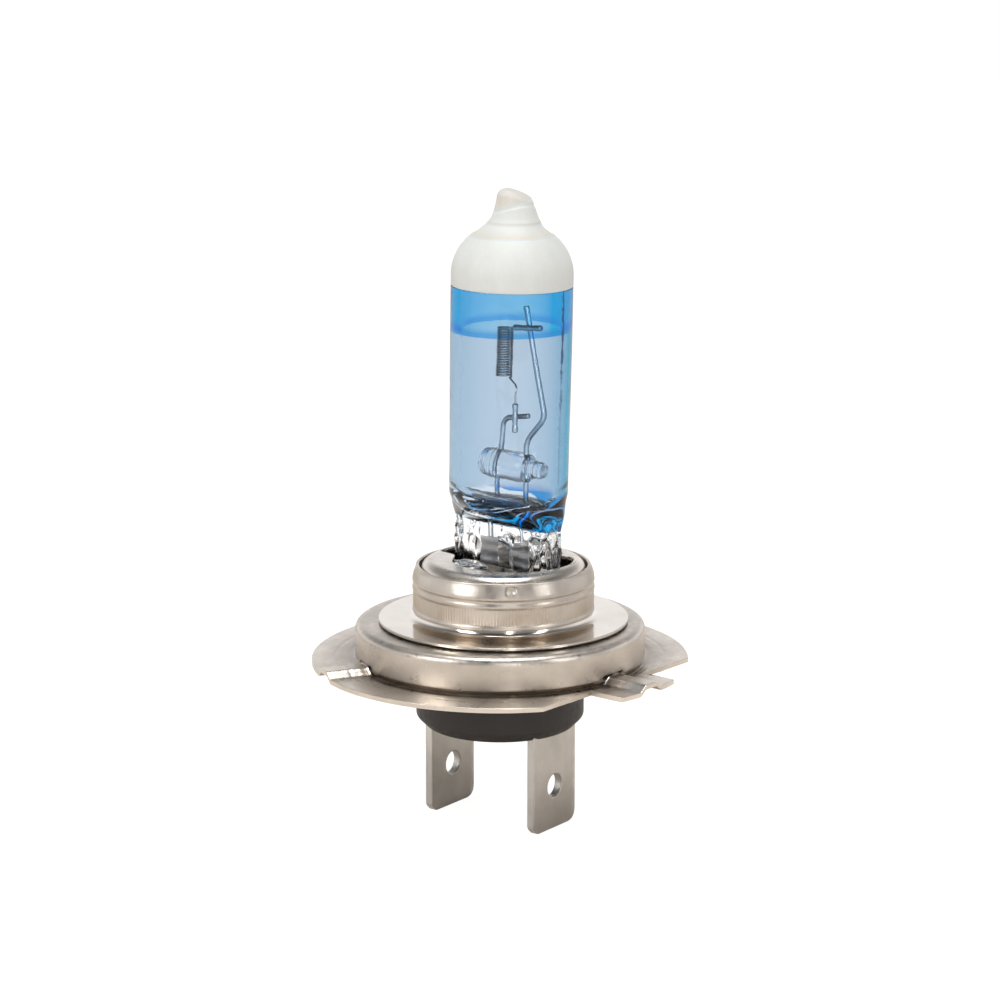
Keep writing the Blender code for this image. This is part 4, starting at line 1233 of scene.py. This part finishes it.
def bubbles():
    """Small drawn-out gas bubbles trapped in the seal, as hollow ellipsoids."""
    builder = bmesh.new()
    spots = ((-3.4, -0.5, 11.6, 0.16, 0.42), (-2.3, -0.7, 11.1, 0.12, 0.55), (0.2, -0.6, 11.4, 0.14, 0.40),
             (0.9, -0.3, 10.6, 0.20, 0.26), (2.8, -0.6, 11.7, 0.13, 0.36), (3.7, -0.2, 10.9, 0.22, 0.34),
             (4.3, 0.3, 12.0, 0.16, 0.30), (-0.5, 0.5, 10.2, 0.24, 0.22), (-4.2, 0.2, 10.3, 0.20, 0.45),
             (3.1, 0.5, 9.9, 0.22, 0.30), (-1.9, 0.4, 9.6, 0.18, 0.36))
    for x, y, z, wide, tall in spots:
        place = Matrix.Translation((x * MM, y * MM, z * MM)) @ Matrix.Diagonal((wide, wide, tall, 1.0))
        bmesh.ops.create_uvsphere(builder, u_segments=20, v_segments=12, radius=MM, matrix=place)
    for vert in builder.verts:
        vert.co += 0.03 * MM * scattered(vert.co * 2500.0)
    bmesh.ops.recalc_face_normals(builder, faces=builder.faces)
    bmesh.ops.reverse_faces(builder, faces=builder.faces)
    return builder


def inner_glass(size):
    """The gas space: it follows the wall and closes to a ridge above the seal."""
    radius, foot = size.radius - size.wall, 5.28 * MM - size.wall
    bulb = 14.70 * MM
    rings = []
    for step in range(15):
        turn = 90 * DEG * step / 14
        z = bulb - 1.30 * MM + 2.20 * MM * (1 - math.cos(turn))
        half_y = 0.30 * MM + (foot - 0.30 * MM) * math.sin(turn)
        rings.append(glass_section(z, foot * (0.80 + 0.20 * math.sin(turn)), half_y, 2))
    top = 33.7 * MM
    for step in range(1, 25):
        z = rings[14][0][2] + (top - rings[14][0][2]) * step / 24
        r = foot + (radius - foot) * ease(step / 24)
        rings.append(glass_section(z, r, r, 2))
    for step in range(1, 13):
        turn = 90 * DEG * step / 12
        r = radius * math.cos(turn)
        z = top + 3.9 * MM * math.sin(turn)
        rings.append(glass_section(z, r, r, 2) if step < 12 else [(0.0, 0.0, z)])
    builder = stack(rings)
    builder.verts.ensure_lookup_table()
    builder.faces.new(builder.verts[:SECTION_STEPS])
    bmesh.ops.recalc_face_normals(builder, faces=builder.faces)
    bmesh.ops.reverse_faces(builder, faces=builder.faces)
    return builder


class BULB_OT_glass(Operator):
    """Add the glass capsule with its pressed seal and gas space"""
    bl_idname = "bulb.glass"
    bl_label = "Glass capsule"

    def execute(self, context):
        size = context.scene.bulb_glass
        inside = merged(inner_glass(size), bubbles())
        for face in inside.faces:
            face.material_index = 1
        lip = foot_lip()
        for face in lip.faces:
            face.material_index = 1
        builder = merged(merged(outer_glass(size), inside), lip)
        for face in builder.faces:
            if face.material_index == 0 and face.calc_center_median().z > size.coating_edge:
                face.material_index = 1
        add_piece("glass_capsule", "glass_envelope", builder,
                  [blue_glass(), clear_glass()], capsule_axis(), crease=50)
        return {"FINISHED"}


class BULB_OT_dome(Operator):
    """Add the white coating over the dome and the sealed tip"""
    bl_idname = "bulb.dome"
    bl_label = "White dome"

    def execute(self, context):
        size = context.scene.bulb_glass
        edge = size.coating_edge
        outer = [(size.radius - 0.03 * MM, edge), (size.radius, edge + 0.06 * MM)] + dome_profile(size, 0.0)
        inner = [(size.radius - 0.10 * MM, edge)] + dome_profile(size, 0.10 * MM, 12)
        builder = turned(inner[::-1] + spread(outer, 0.25 * MM), 160, closed=False)
        slant_tip(builder)
        add_piece("white_dome", "dome_coating", builder, [white_ceramic()],
                  capsule_axis(), crease=60)
        return {"FINISHED"}


def slant_tip(builder):
    """Cut the sealed tip on a slant and press in its facet, as the drawn-off stem left it."""
    right, front = Vector(VIEW_RIGHT), Vector(VIEW_FRONT)
    for vert in builder.verts:
        z = vert.co.z / MM
        if z < 37.9:
            continue
        side, depth = vert.co.dot(right) / MM, vert.co.dot(front) / MM
        vert.co += right * 0.15 * MM * ease((z - 37.9) / 0.9)
        crease = 39.25 + 0.34 * (side + 1.6)
        push = 0.10 * ease((z - crease) / 0.16) * ease(depth / 0.7)
        vert.co -= front * push * MM
        drop = 0.30 * max(0.0, side + 0.65)
        vert.co.z -= drop * MM * ease((z - 39.4) / 1.8)


# Wires

def paint_side_shade(material, dark, reach, layers=1):
    """Paint shade on the edges of a polished round wire, darker than its middle, once for each layer."""
    tree = material.node_tree
    shader = tree.nodes["Principled BSDF"]
    tone = shader.inputs["Base Color"].links[0].from_socket
    facing = add_node(tree, "ShaderNodeLayerWeight", {"Blend": 0.5}).outputs["Facing"]
    edge = ranged(tree, facing, 0.04, reach)
    for _ in range(layers):
        tone = mixed(tree, edge, tone, dark)
    tree.links.new(tone, shader.inputs["Base Color"])
    return material


def wire_metal():
    made = bpy.data.materials.get("support_wire")
    if made:
        return made
    plain = metal("support_wire", bpy.context.scene.bulb_colours.wire, grain=(2500.0, 2500.0, 350.0),
                  rough=(0.10, 0.20), bump=0.06, blotch=0.06, dust=0.05, wear=0.1)
    # Painted shade: the wire's edges are drawn darker than its middle.
    return paint_side_shade(plain, (0.20, 0.27, 0.33), 0.85, WIRE_SHADE_LAYERS)


def add_wire(name, node, corners, radius, reach, place=None):
    path = spread(soften([Vector(c) * MM for c in corners], reach, 10), 0.6 * MM)
    add_piece(name, node, sweep(path, radius), [wire_metal()], place)


class BULB_OT_posts(Operator):
    """Add the two bent posts that carry the coil"""
    bl_idname = "bulb.posts"
    bl_label = "Support posts"

    def execute(self, context):
        radius = context.scene.bulb_wires.post_radius
        place = capsule_axis()
        add_wire("post_long", "long_support_post",
                 [(1.96, 0, 9.4), (1.94, 0, 19.4), (3.80, 0, 21.65), (1.64, 0, 31.34)], radius,
                 0.75 * MM, place)
        add_wire("post_short", "short_support_post",
                 [(-1.36, 0, 9.4), (-1.36, 0, 15.8), (-0.86, 0, 18.78), (-0.72, 0, 21.1), (2.20, 0, 21.66)],
                 radius, 0.85 * MM, place)
        return {"FINISHED"}


class BULB_OT_coil(Operator):
    """Add the filament: an upright coil with a leg to each clamp"""
    bl_idname = "bulb.coil"
    bl_label = "Filament"

    def execute(self, context):
        size = context.scene.bulb_wires
        per_turn, turns, bottom = 28, 19.75, 24.80 * MM
        lower = [(1.04, -0.53, 20.90), (1.04, -0.53, 22.95), (1.05, -0.53, 23.70),
                 (1.06, -0.40, 24.08), (0.64, -0.20, 24.40), (0.15, -0.10, 24.64)]
        upper = [(0.00, -0.60, 29.26), (0.62, -0.53, 29.367), (3.60, -0.53, 29.649)]
        coil = []
        for i in range(round(turns * per_turn) + 1):
            angle = 2 * math.pi * i / per_turn
            rise = size.coil_pitch * i / per_turn
            coil.append(Vector((-0.76 * MM + 0.022 * rise + size.coil_radius * math.cos(angle),
                                size.coil_radius * math.sin(angle), bottom + rise)))
        start = soften([Vector(c) * MM for c in lower] + [coil[0]], 0.22 * MM, 5)[:-1]
        end = soften([coil[-1]] + [Vector(c) * MM for c in upper], 0.22 * MM, 5)[1:]
        # Painted shade: the coil's edges are drawn near black.
        material = paint_side_shade(metal("tungsten_wire", context.scene.bulb_colours.tungsten,
                                      grain=(3000.0, 3000.0, 3000.0), rough=(0.12, 0.22), bump=0.1,
                                      blotch=0.1, dust=0.0, wear=0.2), (0.01, 0.04, 0.07), 0.42)
        add_piece("filament_coil", "filament", sweep(start + coil + end, size.coil_wire, 10),
                  [material], capsule_axis())
        return {"FINISHED"}


class BULB_OT_clamps(Operator):
    """Add the crimped tubes that grip the filament legs"""
    bl_idname = "bulb.clamps"
    bl_label = "Clamp tubes"

    def execute(self, context):
        radius = context.scene.bulb_wires.clamp_radius
        for name, start, end in (("upper", (0.76, -0.53, 29.38), (3.72, -0.53, 29.66)),
                                 ("lower", (1.04, -0.53, 20.10), (1.04, -0.53, 22.68))):
            path = spread([Vector(start) * MM, Vector(end) * MM], 0.10 * MM)
            builder = sweep(path, radius, 20)
            middle = (Vector(start) + Vector(end)) / 2 * MM
            along = (Vector(end) - Vector(start)).normalized()
            for vert in builder.verts:
                way = (vert.co - middle).dot(along)
                pressed = 0.12 * (math.exp(-((way - 0.55 * MM) / (0.22 * MM)) ** 2)
                                  + math.exp(-((way + 0.55 * MM) / (0.22 * MM)) ** 2))
                centre = middle + along * way
                vert.co = centre + (vert.co - centre) * (1 - pressed)
            add_piece(f"clamp_{name}", f"{name}_clamp_tube", builder, [wire_metal()],
                      capsule_axis())
        return {"FINISHED"}


class BULB_OT_bridge(Operator):
    """Add the glass bead that ties the two posts"""
    bl_idname = "bulb.bridge"
    bl_label = "Glass bridge"

    def execute(self, context):
        outline = [(0.0, -2.95), (0.95, -2.90), (1.26, -2.60), (1.16, -2.35), (1.34, -2.10),
                   (1.20, -1.85), (1.36, -1.65), (1.31, 0.0), (1.36, 1.55), (1.26, 2.20), (0.90, 2.44),
                   (0.74, 2.62), (0.84, 2.90), (0.72, 3.15), (0.80, 3.45), (0.60, 3.85), (0.0, 3.93)]
        path = spread(soften([(r * MM, z * MM) for r, z in outline], 0.14 * MM, 5), 0.15 * MM)
        profile = [(0.0, path[0][1])] + [tuple(p) for p in path[1:-1]] + [(0.0, path[-1][1])]
        builder = turned(profile, 64, closed=False)
        lay = Matrix.Translation((0.0, 0.0, 16.95 * MM)) @ Matrix.Rotation(90 * DEG, 4, "Y")
        add_piece("bridge_bead", "glass_bridge", builder, [clear_glass()],
                  capsule_axis() @ lay, crease=80)
        return {"FINISHED"}


class BULB_OT_foils(Operator):
    """Add the foils sealed in the flat of the glass"""
    bl_idname = "bulb.foils"
    bl_label = "Seal foils"

    def execute(self, context):
        material = metal("seal_foil", (0.42, 0.42, 0.43), grain=(900.0, 900.0, 200.0),
                         rough=(0.25, 0.45), bump=0.2, blotch=0.12, dust=0.0)
        behind = 0.285 * MM
        for name, x in (("short", -1.36 * MM), ("long", 1.96 * MM)):
            rings = []
            for step in range(25):
                z = (6.40 + 4.0 * step / 24) * MM
                wave = 0.02 * MM * math.sin(step * 1.1)
                ring = [(x + 0.95 * MM * k / 4, -behind + wave - 0.015 * MM * abs(k) / 4, z)
                        for k in range(-4, 5)]
                rings.append(ring + [(px, py - 0.06 * MM, pz) for px, py, pz in reversed(ring)])
            add_piece(f"foil_{name}", f"seal_foil_{name}", capped(rings), [material],
                      capsule_axis())
        return {"FINISHED"}


class BULB_OT_leads(Operator):
    """Add the leads from the seal to the blades"""
    bl_idname = "bulb.leads"
    bl_label = "Outer leads"

    def execute(self, context):
        radius = context.scene.bulb_wires.lead_radius
        blades = context.scene.bulb_terminals
        contact = blades.spacing / 2 - blades.thickness / 2 - radius - 0.06 * MM
        turn = Matrix.Rotation(blades.turn, 4, "Z")
        axis = capsule_axis()
        for name, x, side in (("short", -1.36 * MM, -1), ("long", 1.96 * MM, 1)):
            corners = [axis @ Vector((x, 0.0, 7.40 * MM)), axis @ Vector((x, 0.0, 3.25 * MM)),
                       turn @ Vector((side * contact, 0.0, 1.2 * MM)),
                       turn @ Vector((side * contact, 0.0, -0.9 * MM))]
            add_wire(f"lead_{name}", f"outer_lead_{name}", [c / MM for c in corners], radius, 0.8 * MM)
        return {"FINISHED"}


# Stage

def soft_light(name, place, target, size, power, mirrored):
    data = bpy.data.lights.new(name, "AREA")
    data.shape, data.size, data.size_y = "RECTANGLE", size[0], size[1]
    data.energy = power
    light = bpy.data.objects.new(name, data)
    light.visible_glossy = mirrored
    light.location = place
    light.rotation_mode = "QUATERNION"
    light.rotation_quaternion = (Vector(target) - Vector(place)).to_track_quat("-Z", "Y")
    bpy.context.scene.collection.objects.link(light)


def floor_material():
    """Pale floor: evenly white to the eye and through glass, with a weak soft shadow."""
    material, shader = new_material("pale_floor")
    tree = material.node_tree
    place = own_place(tree)
    tooth = cloudy(tree, place, 30.0)
    tree.links.new(mixed(tree, tooth, (0.79, 0.735, 0.67), (0.82, 0.765, 0.70)), shader.inputs["Base Color"])
    shader.inputs["Roughness"].default_value = 0.9
    shader.inputs["Specular IOR Level"].default_value = 0.1
    ray = tree.nodes.new("ShaderNodeLightPath").outputs
    direct = arithmetic(tree, "MAXIMUM", ray["Is Camera Ray"], ray["Is Transmission Ray"])
    glow = add_node(tree, "ShaderNodeEmission", {"Strength": 1.25})
    lit = add_node(tree, "ShaderNodeMixShader", {0: 0.25, 1: glow.outputs[0], 2: shader.outputs[0]})
    seen = add_node(tree, "ShaderNodeMixShader", {0: direct, 1: shader.outputs[0], 2: lit.outputs[0]})
    unseen = tree.nodes.new("ShaderNodeBsdfTransparent")
    behind = tree.nodes.new("ShaderNodeNewGeometry").outputs["Backfacing"]
    either = add_node(tree, "ShaderNodeMixShader", {0: behind, 1: seen.outputs[0],
                                                    2: unseen.outputs[0]})
    tree.links.new(either.outputs[0], tree.nodes["Material Output"].inputs["Surface"])
    return material


def dark_line_sheet():
    """Dark blue sheet, seen only through the glass and fainter near its foot, that paints a line of shade
    down one side of the glass.
    """
    material, shader = new_material("painted_dark_line_sheet")
    tree = material.node_tree
    place = own_place(tree)
    mottle = cloudy(tree, place, 900.0)
    tree.links.new(mixed(tree, mottle, (0.012, 0.11, 0.24), (0.025, 0.15, 0.30)),
                   shader.inputs["Base Color"])
    z = height_of(tree, place)
    tree.links.new(ranged(tree, z, 0.012, 0.019, 0.30, 1.0), shader.inputs["Alpha"])
    return material


class BULB_OT_stage(Operator):
    """Add the floor, the soft studio light and the camera"""
    bl_idname = "bulb.stage"
    bl_label = "Stage"

    def execute(self, context):
        settings = context.scene.bulb_stage
        floor_z = CAD_BOX[0][2]
        builder = bmesh.new()
        bmesh.ops.create_circle(builder, cap_ends=True, segments=96, radius=settings.floor_radius)
        mesh = bpy.data.meshes.new("floor")
        builder.to_mesh(mesh)
        builder.free()
        mesh.materials.append(floor_material())
        floor = bpy.data.objects.new("floor", mesh)
        floor.location.z = floor_z
        context.scene.collection.objects.link(floor)

        world = bpy.data.worlds.new("studio_air")
        context.scene.world = world
        world.use_nodes = True
        tree = world.node_tree
        tree.nodes.clear()
        way = add_node(tree, "ShaderNodeTexCoord").outputs["Generated"]
        up = height_of(tree, way)
        ramp = add_node(tree, "ShaderNodeValToRGB", {"Fac": ranged(tree, up, -0.2, 1.0)})
        elements = ramp.color_ramp.elements
        while len(elements) < len(SKY_STOPS):
            elements.new(1.0)
        for element, (spot, level) in zip(elements, SKY_STOPS):
            element.position, element.color = spot, (level, level, level * 1.01, 1.0)
        behind = measured_along(tree, way, VIEW_BACK)
        dimmed = ranged(tree, behind, -0.6, 0.35, 0.26, 1.0)
        level = mixed(tree, 1.0, ramp.outputs["Color"], dimmed, "MULTIPLY")
        air = add_node(tree, "ShaderNodeBackground", {"Color": level, "Strength": settings.world})
        out = tree.nodes.new("ShaderNodeOutputWorld")
        tree.links.new(air.outputs[0], out.inputs["Surface"])

        middle = (0.0, 0.0, 8 * MM)
        for name, place, size, portion, mirrored in SOFT_LIGHTS:
            soft_light(name, place, middle, size, settings.key * portion, mirrored)

        # The flag is seen only through the glass, where it paints a dark line of shade.
        flag_mesh = bpy.data.meshes.new("dark_flag")
        flag_mesh.from_pydata([(-FLAG_HALF_WIDTH, 0.0, 0.0), (FLAG_HALF_WIDTH, 0.0, 0.0),
                               (FLAG_HALF_WIDTH, 0.0, FLAG_HEIGHT),
                               (-FLAG_HALF_WIDTH, 0.0, FLAG_HEIGHT)], [], [(0, 1, 2, 3)])
        flag_mesh.materials.append(dark_line_sheet())
        flag = bpy.data.objects.new("dark_flag", flag_mesh)
        flag.location = (*FLAG_PLACE, floor_z + FLAG_LIFT)
        flag.rotation_euler.z = FLAG_TURN
        flag.visible_camera = flag.visible_diffuse = flag.visible_glossy = False
        flag.visible_shadow = False
        context.scene.collection.objects.link(flag)

        data = bpy.data.cameras.new("studio_camera")
        data.lens, data.sensor_width = settings.lens, SENSOR_WIDTH
        data.clip_start, data.clip_end = 0.01, 40.0
        camera = bpy.data.objects.new("studio_camera", data)
        level = math.cos(CAMERA_PITCH)
        gaze = Vector((VIEW_BACK[0] * level, VIEW_BACK[1] * level, -math.sin(CAMERA_PITCH)))
        camera.location = CAMERA_PLACE
        camera.rotation_mode = "QUATERNION"
        camera.rotation_quaternion = gaze.to_track_quat("-Z", "Y")
        context.scene.collection.objects.link(camera)
        context.scene.camera = camera
        context.scene.view_settings.view_transform = "Standard"
        return {"FINISHED"}


# Panel and registration

STEPS = (BULB_OT_stage, BULB_OT_flange, BULB_OT_drum, BULB_OT_disc, BULB_OT_sleeve, BULB_OT_cover,
         BULB_OT_clip, BULB_OT_base, BULB_OT_blades, BULB_OT_glass, BULB_OT_dome, BULB_OT_bridge,
         BULB_OT_posts, BULB_OT_coil, BULB_OT_clamps, BULB_OT_foils, BULB_OT_leads)
SETTINGS = (("bulb_flange", BulbFlangeSizes), ("bulb_cap", BulbCapSizes),
            ("bulb_terminals", BulbTerminalSizes), ("bulb_glass", BulbGlassSizes),
            ("bulb_wires", BulbWireSizes), ("bulb_colours", BulbColours),
            ("bulb_stage", BulbStageSettings))


class BULB_PT_panel(Panel):
    """Lists the bulb's pieces and their sizes"""
    bl_label = "Headlamp Bulb"
    bl_idname = "BULB_PT_panel"
    bl_space_type = "VIEW_3D"
    bl_region_type = "UI"
    bl_category = "Bulb"

    def draw(self, context):
        for step in STEPS:
            self.layout.operator(step.bl_idname)
        for name, group in SETTINGS:
            settings = getattr(context.scene, name)
            column = self.layout.column(heading=name)
            for key in group.__annotations__:
                column.prop(settings, key)


def register():
    for name, group in SETTINGS:
        bpy.utils.register_class(group)
        setattr(bpy.types.Scene, name, PointerProperty(type=group))
    for item in (*STEPS, BULB_PT_panel):
        bpy.utils.register_class(item)


def unregister():
    for item in (BULB_PT_panel, *reversed(STEPS)):
        bpy.utils.unregister_class(item)
    for name, group in reversed(SETTINGS):
        delattr(bpy.types.Scene, name)
        bpy.utils.unregister_class(group)


def main():
    register()
    for step in STEPS:
        family, name = step.bl_idname.split(".")
        getattr(getattr(bpy.ops, family), name)()
    bpy.context.view_layer.update()


if __name__ == "__main__":
    main()
